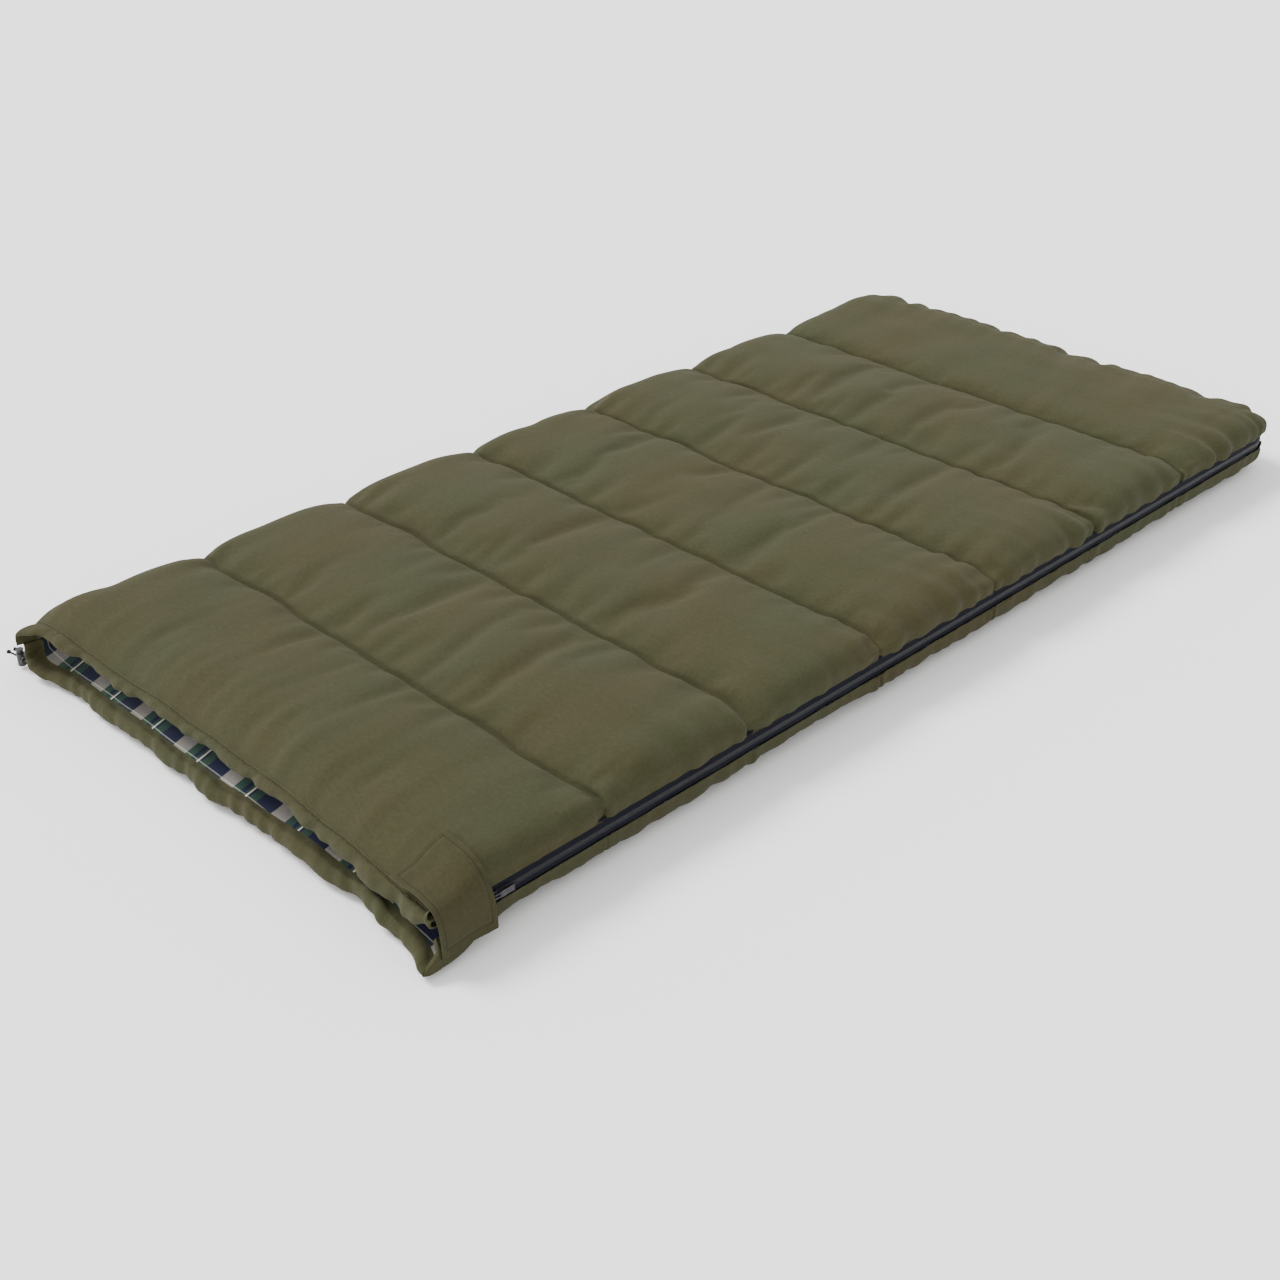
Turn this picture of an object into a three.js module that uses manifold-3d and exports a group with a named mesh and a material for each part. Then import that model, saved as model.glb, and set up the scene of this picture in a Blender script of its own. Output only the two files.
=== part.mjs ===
// Rectangular sleeping bag, closed and lying flat.
// Millimetres. +X is the zip side, -X the fold side, -Y the mouth, +Y the foot, +Z up.
// The origin is the centre of the footprint, on the ground.
// The upper quilt is modelled once and the lower quilt is its mirror image in the fold plane,
// so that the opened cover lies flat on the ground beside the base.
import * as THREE from "three";
import { mergeVertices } from "three/addons/utils/BufferGeometryUtils.js";
import Module from "manifold-3d";

const wasm = await Module();
wasm.setup();

// Driving dimensions
const WIDTH = 970;
const LENGTH = 2030;
const LOFT = 124; // both quilts and the sleeper's space between them
const FOLD_Z = LOFT / 2; // height of the fold line and of the zip chain
const FOLD_X = -WIDTH / 2;
const HEAD_Y = -LENGTH / 2;
const FOOT_Y = LENGTH / 2;
const TAB_CLOTH = 1.8; // the closure tab's two layers
const SIDE_X = WIDTH / 2 - TAB_CLOTH - 2.2; // zip side of the shells, inside the tab and its patches
const CORNER = 80; // plan radius of the foot corners and width of the rolled edges
const FIRST_SEAM_Y = HEAD_Y + 290;
const SEAM_PITCH = 279;
const SEAM_COUNT = 6;
const SEAM_DIP = 0.22; // a seam pulls the loft down by this share
const SHELL_CLOTH = 1.5;
const RIM_Z = 76; // lower edge of the upper shell along the zip
const FOLD_GAP = 0.3; // each quilt stays this far from the fold plane
const FIT = 0.5; // gap between layers
const UPPER_MOUTH_Y = HEAD_Y + 42;
const LOWER_MOUTH_Y = HEAD_Y + 32;
const CHAIN_INSET = 11; // zip chain, inside the shell's edge
const CHAIN_X = SIDE_X - CHAIN_INSET;
const CHAIN_Y = FOOT_Y - CHAIN_INSET;

// Materials
const OLIVE = new THREE.Color(0x5c5740);
const OLIVE_DARK = new THREE.Color(0x4c4835);
const PLAID = new THREE.Color(0x3c4a48);
const FILL = new THREE.Color(0xe8e6df);
const NAVY = new THREE.Color(0x15161f);
const BLACK = new THREE.Color(0x141416);
const NICKEL = new THREE.Color(0xa9abb0);

function cloth(color) {
  return new THREE.MeshStandardMaterial({ color, roughness: 0.92, metalness: 0 });
}

function plastic(color) {
  return new THREE.MeshStandardMaterial({ color, roughness: 0.45, metalness: 0 });
}

function metal(color) {
  return new THREE.MeshStandardMaterial({ color, roughness: 0.35, metalness: 0.9 });
}

const bag = new THREE.Group();

function add(name, geometry, material) {
  const mesh = new THREE.Mesh(geometry, material);
  mesh.name = name;
  bag.add(mesh);
  return mesh;
}

// Solid helpers

function toManifold(geometry) {
  const bare = geometry.clone();
  bare.deleteAttribute("normal");
  bare.deleteAttribute("uv");
  const merged = mergeVertices(bare, 1e-4);
  return new wasm.Manifold(new wasm.Mesh({
    numProp: 3,
    vertProperties: new Float32Array(merged.attributes.position.array),
    triVerts: new Uint32Array(merged.index.array),
  }));
}

function fromManifold(solid) {
  const mesh = solid.getMesh();
  const geometry = new THREE.BufferGeometry();
  geometry.setAttribute("position", new THREE.BufferAttribute(mesh.vertProperties, 3));
  geometry.setIndex(new THREE.BufferAttribute(mesh.triVerts, 1));
  geometry.computeVertexNormals();
  return geometry;
}

function boxBetween(low, high) {
  const geometry = new THREE.BoxGeometry(high[0] - low[0], high[1] - low[1], high[2] - low[2]);
  geometry.translate((low[0] + high[0]) / 2, (low[1] + high[1]) / 2, (low[2] + high[2]) / 2);
  return geometry;
}

function union(geometries) {
  return fromManifold(geometries.map(toManifold).reduce((sum, solid) => sum.add(solid)));
}

// The same geometry on the other side of the fold plane
function mirrored(geometry) {
  const flipped = geometry.index ? geometry.toNonIndexed() : geometry.clone();
  const position = flipped.attributes.position;
  for (let i = 0; i < position.count; i += 1) {
    position.setZ(i, LOFT - position.getZ(i));
  }
  const points = position.array;
  for (let i = 0; i < points.length; i += 9) {
    for (let k = 0; k < 3; k += 1) {
      const kept = points[i + 3 + k];
      points[i + 3 + k] = points[i + 6 + k];
      points[i + 6 + k] = kept;
    }
  }
  flipped.computeVertexNormals();
  return flipped;
}

// Extrudes an outline in the (X, Z) plane from y0 to y1
function alongY(outline, y0, y1) {
  const shape = new THREE.Shape(outline.map(([x, z]) => new THREE.Vector2(x, z)));
  const geometry = new THREE.ExtrudeGeometry(shape, { depth: y1 - y0, bevelEnabled: false });
  geometry.rotateX(Math.PI / 2);
  geometry.translate(0, y1, 0);
  return geometry;
}

// Extrudes a shape drawn in the (Y, Z) plane from x0 to x1
function alongX(shape, x0, x1) {
  const geometry = new THREE.ExtrudeGeometry(shape, {
    depth: x1 - x0, bevelEnabled: false, curveSegments: 5,
  });
  geometry.rotateX(Math.PI / 2);
  geometry.rotateZ(Math.PI / 2);
  geometry.translate(x0, 0, 0);
  return geometry;
}

function rodAlongX(radius, x0, x1, y, z, sides = 10) {
  const geometry = new THREE.CylinderGeometry(radius, radius, x1 - x0, sides);
  geometry.rotateZ(Math.PI / 2);
  geometry.translate((x0 + x1) / 2, y, z);
  return geometry;
}

// Quilts

const seams = Array.from({ length: SEAM_COUNT }, (_, i) => FIRST_SEAM_Y + i * SEAM_PITCH);

// Height of a rolled edge, as a share of the full loft, at a distance inside it
function roll(distance) {
  const t = 1 - Math.min(Math.max(distance / CORNER, 0), 1);
  return Math.sqrt(1 - t * t);
}

// Rows across a quilt: each channel has its seam and the two ends of its flat crown
function quiltRows(mouth, foot) {
  const rows = [];
  const starts = [mouth, ...seams];
  const CROWN = [0.2, 0.8];
  const MOUTH_CROWN = [0.35, 0.8];
  const LAST_CROWN = 0.2;
  starts.forEach((start, i) => {
    rows.push({ y: start, dip: SEAM_DIP });
    if (i === starts.length - 1) {
      rows.push({ y: start + LAST_CROWN * (foot - start), dip: 0 });
      return;
    }
    const channel = starts[i + 1] - start;
    (i === 0 ? MOUTH_CROWN : CROWN).forEach((share) => rows.push({ y: start + share * channel, dip: 0 }));
  });
  [CORNER, 22, 5, 0].forEach((inside) => rows.push({ y: foot - inside, dip: 0 }));
  return rows;
}

function quiltColumns(fold, side) {
  return [
    fold, fold + 5, fold + 22, fold + CORNER, 0,
    side - CORNER, side - 22, side - 5, side,
  ];
}

// Rounds the plan corners at the foot by mapping each corner square onto a quarter disc
function rounded(x, y, fold, side, foot) {
  const centre = x > 0 ? side - CORNER : fold + CORNER;
  const u = (x - centre) / CORNER;
  const v = (y - (foot - CORNER)) / CORNER;
  const outward = x > 0 ? u > 0 : u < 0;
  if (!outward || v <= 0) return [x, y];
  return [
    centre + CORNER * u * Math.sqrt(1 - (v * v) / 2),
    foot - CORNER + CORNER * v * Math.sqrt(1 - (u * u) / 2),
  ];
}

// A crowned surface of the upper quilt: inset from the shell's plan, with its own top and fold edge
function crown({ mouth, inset, foldInset, top, foldRim }) {
  const fold = FOLD_X + foldInset;
  const side = SIDE_X - inset;
  const foot = FOOT_Y - inset;
  return quiltRows(mouth, foot).map(({ y, dip }) => quiltColumns(fold, side).map((x) => {
    const fromFold = Math.min((x - fold) / CORNER, 1);
    const nearFoot = Math.max((y - foot + CORNER) / CORNER, 0);
    const rim = foldRim + (RIM_Z - foldRim) * Math.max(fromFold, nearFoot);
    const rise = roll(side - x) * roll(x - fold) * roll(foot - y) * (1 - dip);
    const [px, py] = rounded(x, y, fold, side, foot);
    return [px, py, rim + (top - rim) * rise];
  }));
}

function floorUnder(grid, z) {
  return grid.map((row) => row.map(([x, y]) => [x, y, z]));
}

// Closed body between two grids of the same size, the first one above the second
function slabBetween(upper, lower) {
  const rows = upper.length;
  const columns = upper[0].length;
  const points = [...upper.flat(), ...lower.flat()].flat();
  const index = [];
  const above = (r, c) => r * columns + c;
  const below = (r, c) => rows * columns + r * columns + c;
  const quad = (a, b, c, d) => index.push(a, b, c, a, c, d);
  for (let r = 0; r < rows - 1; r += 1) {
    for (let c = 0; c < columns - 1; c += 1) {
      quad(above(r, c), above(r, c + 1), above(r + 1, c + 1), above(r + 1, c));
      quad(below(r, c), below(r + 1, c), below(r + 1, c + 1), below(r, c + 1));
    }
    quad(above(r, 0), above(r + 1, 0), below(r + 1, 0), below(r, 0));
    const last = columns - 1;
    quad(above(r + 1, last), above(r, last), below(r, last), below(r + 1, last));
  }
  for (let c = 0; c < columns - 1; c += 1) {
    quad(above(0, c + 1), above(0, c), below(0, c), below(0, c + 1));
    quad(above(rows - 1, c), above(rows - 1, c + 1), below(rows - 1, c + 1), below(rows - 1, c));
  }
  const geometry = new THREE.BufferGeometry();
  geometry.setAttribute("position", new THREE.BufferAttribute(new Float32Array(points), 3));
  geometry.setIndex(index);
  geometry.computeVertexNormals();
  return geometry;
}

const LINING_Z = 72.2; // underside of the upper lining
const LINING_CLOTH = 1;

function shellGeometry(mouth) {
  const foldRim = FOLD_Z + FOLD_GAP;
  const outside = crown({ mouth, inset: 0, foldInset: 0, top: LOFT, foldRim });
  const inside = crown({
    mouth, inset: SHELL_CLOTH, foldInset: SHELL_CLOTH, top: LOFT - SHELL_CLOTH, foldRim,
  });
  return slabBetween(outside, inside);
}

const BATTING_INSET = SHELL_CLOTH + 1.8;
const MIDDLE_TOP = 98; // crown of the surface between the two layers of filling

function outerBatting(mouth) {
  const outside = crown({
    mouth, inset: BATTING_INSET, foldInset: 17, top: LOFT - BATTING_INSET, foldRim: RIM_Z,
  });
  const inside = crown({ mouth, inset: 9, foldInset: 26, top: MIDDLE_TOP, foldRim: RIM_Z });
  return slabBetween(outside, inside);
}

function innerBatting(mouth) {
  const outside = crown({ mouth, inset: 14, foldInset: 33, top: MIDDLE_TOP - 2.5, foldRim: RIM_Z });
  return slabBetween(outside, floorUnder(outside, LINING_Z + LINING_CLOTH + FIT));
}

// The lining is flat, with its fold edge turned down to the fold line and its foot corners rounded
function lining(mouth) {
  const inset = CHAIN_INSET + 4;
  const zipEdge = SIDE_X - inset;
  const foldInset = 5;
  const foldLine = FOLD_X + foldInset;
  const turn = 11;
  const outline = [
    [zipEdge, LINING_Z],
    [zipEdge, LINING_Z + LINING_CLOTH],
    [foldLine + turn, LINING_Z + LINING_CLOTH],
    [foldLine, FOLD_Z + FOLD_GAP],
    [foldLine + 1.5, FOLD_Z + FOLD_GAP],
    [foldLine + turn + 0.5, LINING_Z],
  ];
  const plan = new THREE.Shape();
  const centreY = FOOT_Y - CORNER;
  plan.moveTo(foldLine, mouth - 1);
  plan.lineTo(zipEdge, mouth - 1);
  plan.absarc(SIDE_X - CORNER, centreY, CORNER - inset, 0, Math.PI / 2, false);
  plan.absellipse(
    FOLD_X + CORNER, centreY, CORNER - foldInset, CORNER - inset, Math.PI / 2, Math.PI, false,
  );
  plan.lineTo(foldLine, mouth - 1);
  const prism = new THREE.ExtrudeGeometry(plan, { depth: LOFT, bevelEnabled: false, curveSegments: 6 });
  const sheet = toManifold(alongY(outline, mouth, FOOT_Y - inset));
  return fromManifold(sheet.intersect(toManifold(prism)));
}

const BATTING_MOUTH_GAP = 3; // the filling stops short of the hem

function buildQuilt(prefix, mouth, place) {
  add(`${prefix}_shell`, place(shellGeometry(mouth)), cloth(OLIVE));
  add(`${prefix}_outer_batting`, place(outerBatting(mouth + BATTING_MOUTH_GAP)), cloth(FILL));
  add(`${prefix}_inner_batting`, place(innerBatting(mouth + BATTING_MOUTH_GAP)), cloth(FILL));
  add(`${prefix}_lining`, place(lining(mouth)), cloth(PLAID));
}

// Hem bands at the mouth, each a stitched channel with its drawcord inside

const CHANNEL_RADIUS = 3.2;
const DRAWCORD_RADIUS = 1.5;
const UPPER_CHANNEL = { y: HEAD_Y + 23, z: 83 };
const LOWER_CHANNEL = { y: HEAD_Y + 15, z: 14 };
const UPPER_HEM = { fold: FOLD_X + 7, zip: SIDE_X - 26 };
const LOWER_HEM = { fold: FOLD_X + 4, zip: SIDE_X - 3 };

function hemBand(outline, channel, ends) {
  const shape = new THREE.Shape(outline.map(([y, z]) => new THREE.Vector2(y, z)));
  const bore = new THREE.Path();
  bore.absarc(channel.y, channel.z, CHANNEL_RADIUS, 0, 2 * Math.PI, true);
  shape.holes.push(bore);
  return alongX(shape, ends.fold, ends.zip);
}

function buildHems() {
  const upperBack = UPPER_MOUTH_Y - FIT;
  const upperOutline = [
    [upperBack, 73], [upperBack, 96], [HEAD_Y + 27, 95], [HEAD_Y + 14, 87],
    [HEAD_Y + 9, 79], [HEAD_Y + 13, 73],
  ];
  add("upper_hem_band", hemBand(upperOutline, UPPER_CHANNEL, UPPER_HEM), cloth(OLIVE));

  const lowerBack = LOWER_MOUTH_Y - FIT;
  const lowerOutline = [
    [lowerBack, 3], [lowerBack, 51], [HEAD_Y + 14, 50], [HEAD_Y + 3, 43],
    [HEAD_Y, 32], [HEAD_Y + 3, 12], [HEAD_Y + 12, 3],
  ];
  add("lower_hem_band", hemBand(lowerOutline, LOWER_CHANNEL, LOWER_HEM), cloth(OLIVE));

  const cordEnd = 2; // a drawcord stops this far inside its channel
  add("upper_drawcord", rodAlongX(
    DRAWCORD_RADIUS, UPPER_HEM.fold + cordEnd, UPPER_HEM.zip - cordEnd, UPPER_CHANNEL.y, UPPER_CHANNEL.z, 8,
  ), cloth(BLACK));
  add("lower_drawcord", rodAlongX(
    DRAWCORD_RADIUS, LOWER_HEM.fold + cordEnd, LOWER_HEM.zip - cordEnd, LOWER_CHANNEL.y, LOWER_CHANNEL.z, 8,
  ), cloth(BLACK));
}

// Zip: tapes and coils follow the side, turn the foot corner and cross the foot

const COIL_GAP = 0.8; // from the chain's centre line to each coil, the room of a slider's neck
const COIL_HEIGHT = 2.8;
const COIL_HALF = 2.4;
const TAPE_HALF = 0.5;
const TAPE_START_Y = HEAD_Y + 40;
const CHAIN_START_Y = HEAD_Y + 90;
const CHAIN_END_X = FOLD_X + CORNER + 5;

// Plan outline of a strip that follows the chain's line
function chainStrip(half, startY, endX) {
  const centreX = SIDE_X - CORNER;
  const centreY = FOOT_Y - CORNER;
  const radius = CORNER - CHAIN_INSET;
  const shape = new THREE.Shape();
  shape.moveTo(CHAIN_X + half, startY);
  shape.absarc(centreX, centreY, radius + half, 0, Math.PI / 2, false);
  shape.lineTo(endX, CHAIN_Y + half);
  shape.lineTo(endX, CHAIN_Y - half);
  shape.absarc(centreX, centreY, radius - half, Math.PI / 2, 0, true);
  shape.lineTo(CHAIN_X - half, startY);
  return shape;
}

function strip(half, startY, endX, z0, z1) {
  const geometry = new THREE.ExtrudeGeometry(chainStrip(half, startY, endX), {
    depth: z1 - z0, bevelEnabled: false, curveSegments: 8,
  });
  geometry.translate(0, 0, z0);
  return geometry;
}

function buildZip() {
  const coilZ = FOLD_Z + COIL_GAP;
  const tapeZ = coilZ + COIL_HEIGHT + 0.3;
  const tapeTop = RIM_Z - 0.7;
  const coil = strip(COIL_HALF, CHAIN_START_Y, CHAIN_END_X, coilZ, coilZ + COIL_HEIGHT);
  const tape = strip(TAPE_HALF, TAPE_START_Y, CHAIN_END_X - 8, tapeZ, tapeTop);
  add("upper_zipper_coil", coil, plastic(NAVY));
  add("lower_zipper_coil", mirrored(coil), plastic(NAVY));
  add("upper_zipper_tape", tape, cloth(NAVY));
  add("lower_zipper_tape", mirrored(tape), cloth(NAVY));

  const stopGap = 0.4;
  const stopLength = 4;
  const topStop = boxBetween(
    [CHAIN_X - 2.2, CHAIN_START_Y - stopGap - stopLength, coilZ],
    [CHAIN_X + 2.2, CHAIN_START_Y - stopGap, coilZ + COIL_HEIGHT],
  );
  add("upper_top_stop", topStop, metal(NICKEL));
  add("lower_top_stop", mirrored(topStop), metal(NICKEL));

  // At the foot end the upper chain ends in a pin, which stands in the lower chain's box
  const endX = CHAIN_END_X - stopGap;
  add("zipper_insertion_pin", boxBetween(
    [endX - 7, CHAIN_Y - 1.5, FOLD_Z + 1.2],
    [endX, CHAIN_Y + 1.5, FOLD_Z + 3.6],
  ), plastic(BLACK));
  add("zipper_retainer_box", boxBetween(
    [endX - 7, CHAIN_Y - 3, FOLD_Z - 3.6],
    [endX, CHAIN_Y + 3, FOLD_Z + 0.8],
  ), plastic(BLACK));
}

// Sliders. In the slider's own frame the chain runs along Y and +X faces outward.

const SLIDER = { half: 9, halfHeight: 7, plateIn: 3.4, plateOut: 5, railIn: 1.2, railZ: 5.2 };
const BAIL = { half: 7, window: 5.5, top: 9.6, underside: 8, halfWidth: 1.2 };
const PIVOT = { x: 6.5, y: 3.8 };

function sliderBody(front) {
  const { half, halfHeight, plateIn, plateOut, railIn, railZ } = SLIDER;
  const neck = front > 0 ? [4, half] : [-half, -4];
  const NECK_HALF = 0.45;
  const pieces = [boxBetween([-plateIn - 0.2, neck[0], -NECK_HALF], [plateIn + 0.2, neck[1], NECK_HALF])];
  for (const sign of [-1, 1]) {
    const plateX = sign > 0 ? [plateIn, plateOut] : [-plateOut, -plateIn];
    const railX = sign > 0 ? [railIn, plateIn + 0.2] : [-plateIn - 0.2, -railIn];
    pieces.push(boxBetween([plateX[0], -half, -halfHeight], [plateX[1], half, halfHeight]));
    pieces.push(boxBetween([railX[0], -half, railZ], [railX[1], half, halfHeight]));
    pieces.push(boxBetween([railX[0], -half, -halfHeight], [railX[1], half, -railZ]));
    const legY = sign > 0 ? [BAIL.window, BAIL.half] : [-BAIL.half, -BAIL.window];
    pieces.push(boxBetween(
      [plateOut - 0.2, legY[0], -BAIL.halfWidth],
      [BAIL.underside + 0.2, legY[1], BAIL.halfWidth],
    ));
  }
  pieces.push(boxBetween(
    [BAIL.underside, -BAIL.half, -BAIL.halfWidth],
    [BAIL.top, BAIL.half, BAIL.halfWidth],
  ));
  return union(pieces);
}

// A pull lies along the closed chain, away from the slider's neck; side is that way along Y
function sliderPull(side) {
  const PIN_RADIUS = 0.9;
  const ARM = { from: 1.7, to: 3.7, half: 0.9 };
  const plate = [13, 36];
  const lie = (a, b) => (side > 0 ? [a, b] : [-b, -a]);
  const pin = new THREE.CylinderGeometry(PIN_RADIUS, PIN_RADIUS, 2 * ARM.to - 0.2, 10);
  pin.rotateX(Math.PI / 2);
  pin.translate(PIVOT.x, side * PIVOT.y, 0);
  const pieces = [pin];
  const armY = lie(PIVOT.y - 0.6, plate[0] + 0.5);
  for (const z of [[ARM.from, ARM.to], [-ARM.to, -ARM.from]]) {
    pieces.push(boxBetween([PIVOT.x - ARM.half, armY[0], z[0]], [PIVOT.x + ARM.half, armY[1], z[1]]));
  }
  const plateY = lie(...plate);
  pieces.push(boxBetween([PIVOT.x - ARM.half, plateY[0], -4.6], [PIVOT.x + ARM.half, plateY[1], 4.6]));
  return union(pieces);
}

const HEAD_SLIDER_Y = CHAIN_START_Y + 9; // the slider rests against the top stops
const FOOT_SLIDER_X = CHAIN_END_X + 15;

function buildSliders() {
  const atHead = new THREE.Matrix4().makeTranslation(CHAIN_X, HEAD_SLIDER_Y, FOLD_Z);
  const atFoot = new THREE.Matrix4().makeTranslation(FOOT_SLIDER_X, CHAIN_Y, FOLD_Z);
  atFoot.multiply(new THREE.Matrix4().makeRotationZ(Math.PI / 2));
  add("head_slider_body", sliderBody(-1).applyMatrix4(atHead), metal(NICKEL));
  add("head_slider_pull", sliderPull(1).applyMatrix4(atHead), metal(NICKEL));
  add("foot_slider_body", sliderBody(1).applyMatrix4(atFoot), metal(NICKEL));
  add("foot_slider_pull", sliderPull(-1).applyMatrix4(atFoot), metal(NICKEL));
}

// Draft tube: a filled tube of lining cloth behind the zip, sewn to the upper quilt

function buildDraftTube() {
  const centre = { x: CHAIN_X - 19, z: FOLD_Z + 2 };
  const start = UPPER_MOUTH_Y + 12;
  const end = FOOT_Y - CORNER;
  const ellipse = (a, b, clockwise) => {
    const path = new THREE.Shape();
    path.absellipse(centre.x, centre.z, a, b, 0, 2 * Math.PI, clockwise);
    return path;
  };
  const tube = ellipse(11, 7, false);
  tube.holes.push(ellipse(10, 6, true));
  const options = { depth: end - start, bevelEnabled: false, curveSegments: 7 };
  const turned = (shape) => {
    const geometry = new THREE.ExtrudeGeometry(shape, options);
    geometry.rotateX(Math.PI / 2);
    geometry.translate(0, end, 0);
    return geometry;
  };
  add("draft_tube_cover", turned(tube), cloth(PLAID));
  add("draft_tube_fill", turned(ellipse(9.4, 5.4, false)), cloth(FILL));
}

// Closure tab: sewn across the upper quilt, it folds over the zip's end and sticks to the lower quilt

const TAB = { root: SIDE_X - 91, fold: CHAIN_X + 13.2, low: 24, start: HEAD_Y + 14, end: HEAD_Y + 100 };

function buildTab() {
  const inner = [
    [TAB.root, 121.4], [TAB.root + 11, 121.4], [SIDE_X - 21, 107.6], [SIDE_X - 4, 92.6],
    [TAB.fold, 78], [TAB.fold, TAB.low],
  ];
  const outer = [
    [TAB.fold + TAB_CLOTH, TAB.low], [TAB.fold + TAB_CLOTH, 79], [SIDE_X - 2.5, 94.2],
    [SIDE_X - 19.5, 109.4], [TAB.root + 11.4, 123.2], [TAB.root, 123.2],
  ];
  add("closure_tab", alongY([...inner, ...outer], TAB.start, TAB.end), cloth(OLIVE));
  const patch = { low: 27, high: 45, start: TAB.start + 6, end: TAB.end - 10, thick: 0.7 };
  const patchAt = (x) => boxBetween(
    [x, patch.start, patch.low],
    [x + patch.thick, patch.end, patch.high],
  );
  add("tab_hook_patch", patchAt(TAB.fold - 0.3 - patch.thick), cloth(BLACK));
  add("tab_loop_patch", patchAt(TAB.fold - 0.6 - 2 * patch.thick), cloth(OLIVE_DARK));
}

// Cord lock: the two drawcord tails leave the fold corner through an eyelet and pass the sprung lock

const TAIL = { half: 1.9, start: FOLD_X - 0.6, straight: FOLD_X - 20, end: FOLD_X - 35, spread: 4.8 };
const LOCK = { x: FOLD_X - 9.5, radius: 6.5, bore: 4.7, low: 2, high: 23, slotHalf: 4.1 };
const PLUNGER = { radius: 4.3, low: 10.5, capLow: 27.5, top: 30, capRadius: 5.8 };
const PRESS_TRAVEL = 4;

function lathe(profile, sides) {
  const geometry = new THREE.LatheGeometry(profile.map(([r, z]) => new THREE.Vector2(r, z)), sides);
  geometry.rotateX(Math.PI / 2);
  return geometry;
}

function buildEyelet() {
  const ring = lathe([[4.2, -1.2], [6.6, -1.2], [6.6, 1.2], [4.2, 1.2], [4.2, -1.2]], 16);
  ring.rotateY(Math.PI / 2);
  ring.translate(FOLD_X + 2, LOWER_CHANNEL.y, LOWER_CHANNEL.z);
  add("drawcord_eyelet", ring, metal(NICKEL));
}

function buildTails() {
  const section = new THREE.Shape();
  section.absarc(0, 0, DRAWCORD_RADIUS, 0, 2 * Math.PI, false);
  [["front", -1], ["rear", 1]].forEach(([name, side]) => {
    const { y, z } = LOWER_CHANNEL;
    const route = new THREE.CatmullRomCurve3([
      new THREE.Vector3(TAIL.start, y + side * TAIL.half, z),
      new THREE.Vector3(TAIL.straight + 8, y + side * TAIL.half, z),
      new THREE.Vector3(TAIL.straight, y + side * (TAIL.half + 0.3), z),
      new THREE.Vector3(TAIL.end, y + side * TAIL.spread, z),
    ]);
    const tube = new THREE.ExtrudeGeometry(section, {
      steps: 6, bevelEnabled: false, curveSegments: 4, extrudePath: route,
    });
    add(`drawcord_tail_${name}`, tube, cloth(BLACK));
    const knot = new THREE.SphereGeometry(3.4, 10, 8);
    knot.translate(TAIL.end - 3.9, y + side * (TAIL.spread + 0.6), z);
    add(`tail_knot_${name}`, knot, cloth(BLACK));
  });
}

function slotAcross(half, low, high) {
  const reach = 20;
  return toManifold(boxBetween([-reach, -half, low], [reach, half, high]));
}

function buildCordLock() {
  const place = (geometry) => geometry.translate(LOCK.x, LOWER_CHANNEL.y, 0);
  const cordLow = LOWER_CHANNEL.z - DRAWCORD_RADIUS - 0.4;
  const cordHigh = LOWER_CHANNEL.z + DRAWCORD_RADIUS + 0.4;
  const cup = lathe([
    [0, LOCK.low], [LOCK.radius, LOCK.low], [LOCK.radius, LOCK.high], [LOCK.bore, LOCK.high],
    [LOCK.bore, LOCK.low + 1.5], [0, LOCK.low + 1.5],
  ], 20);
  const barrel = toManifold(cup).subtract(slotAcross(LOCK.slotHalf, cordLow, cordHigh));
  add("cord_lock_barrel", place(fromManifold(barrel)), plastic(BLACK));

  const stem = lathe([
    [0, PLUNGER.low], [PLUNGER.radius, PLUNGER.low], [PLUNGER.radius, PLUNGER.capLow],
    [PLUNGER.capRadius, PLUNGER.capLow], [PLUNGER.capRadius, PLUNGER.top], [0, PLUNGER.top],
  ], 20);
  const plunger = toManifold(stem).subtract(slotAcross(3.75, cordLow, cordHigh + PRESS_TRAVEL));
  add("cord_lock_plunger", place(fromManifold(plunger)), plastic(BLACK));

  const spring = { low: LOCK.low + 2.3, high: PLUNGER.low - 0.8, turns: 3, radius: 3, wire: 0.45 };
  class Helix extends THREE.Curve {
    getPoint(t, target = new THREE.Vector3()) {
      const angle = 2 * Math.PI * spring.turns * t;
      const z = spring.low + (spring.high - spring.low) * t;
      return target.set(spring.radius * Math.cos(angle), spring.radius * Math.sin(angle), z);
    }
  }
  const wire = new THREE.Shape();
  wire.absarc(0, 0, spring.wire, 0, 2 * Math.PI, false);
  const coil = new THREE.ExtrudeGeometry(wire, {
    steps: 12 * spring.turns, bevelEnabled: false, curveSegments: 3, extrudePath: new Helix(),
  });
  add("cord_lock_spring", place(coil), metal(NICKEL));
}

buildQuilt("upper", UPPER_MOUTH_Y, (geometry) => geometry);
buildQuilt("lower", LOWER_MOUTH_Y, mirrored);
buildHems();
buildZip();
buildSliders();
buildDraftTube();
buildTab();
buildEyelet();
buildTails();
buildCordLock();

export default bag;
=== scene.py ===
"""Rectangular quilted sleeping bag: the looks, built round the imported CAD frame. Metres."""

import math

import bpy
import numpy as np
from mathutils import Matrix, Vector
from mathutils.bvhtree import BVHTree


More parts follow.
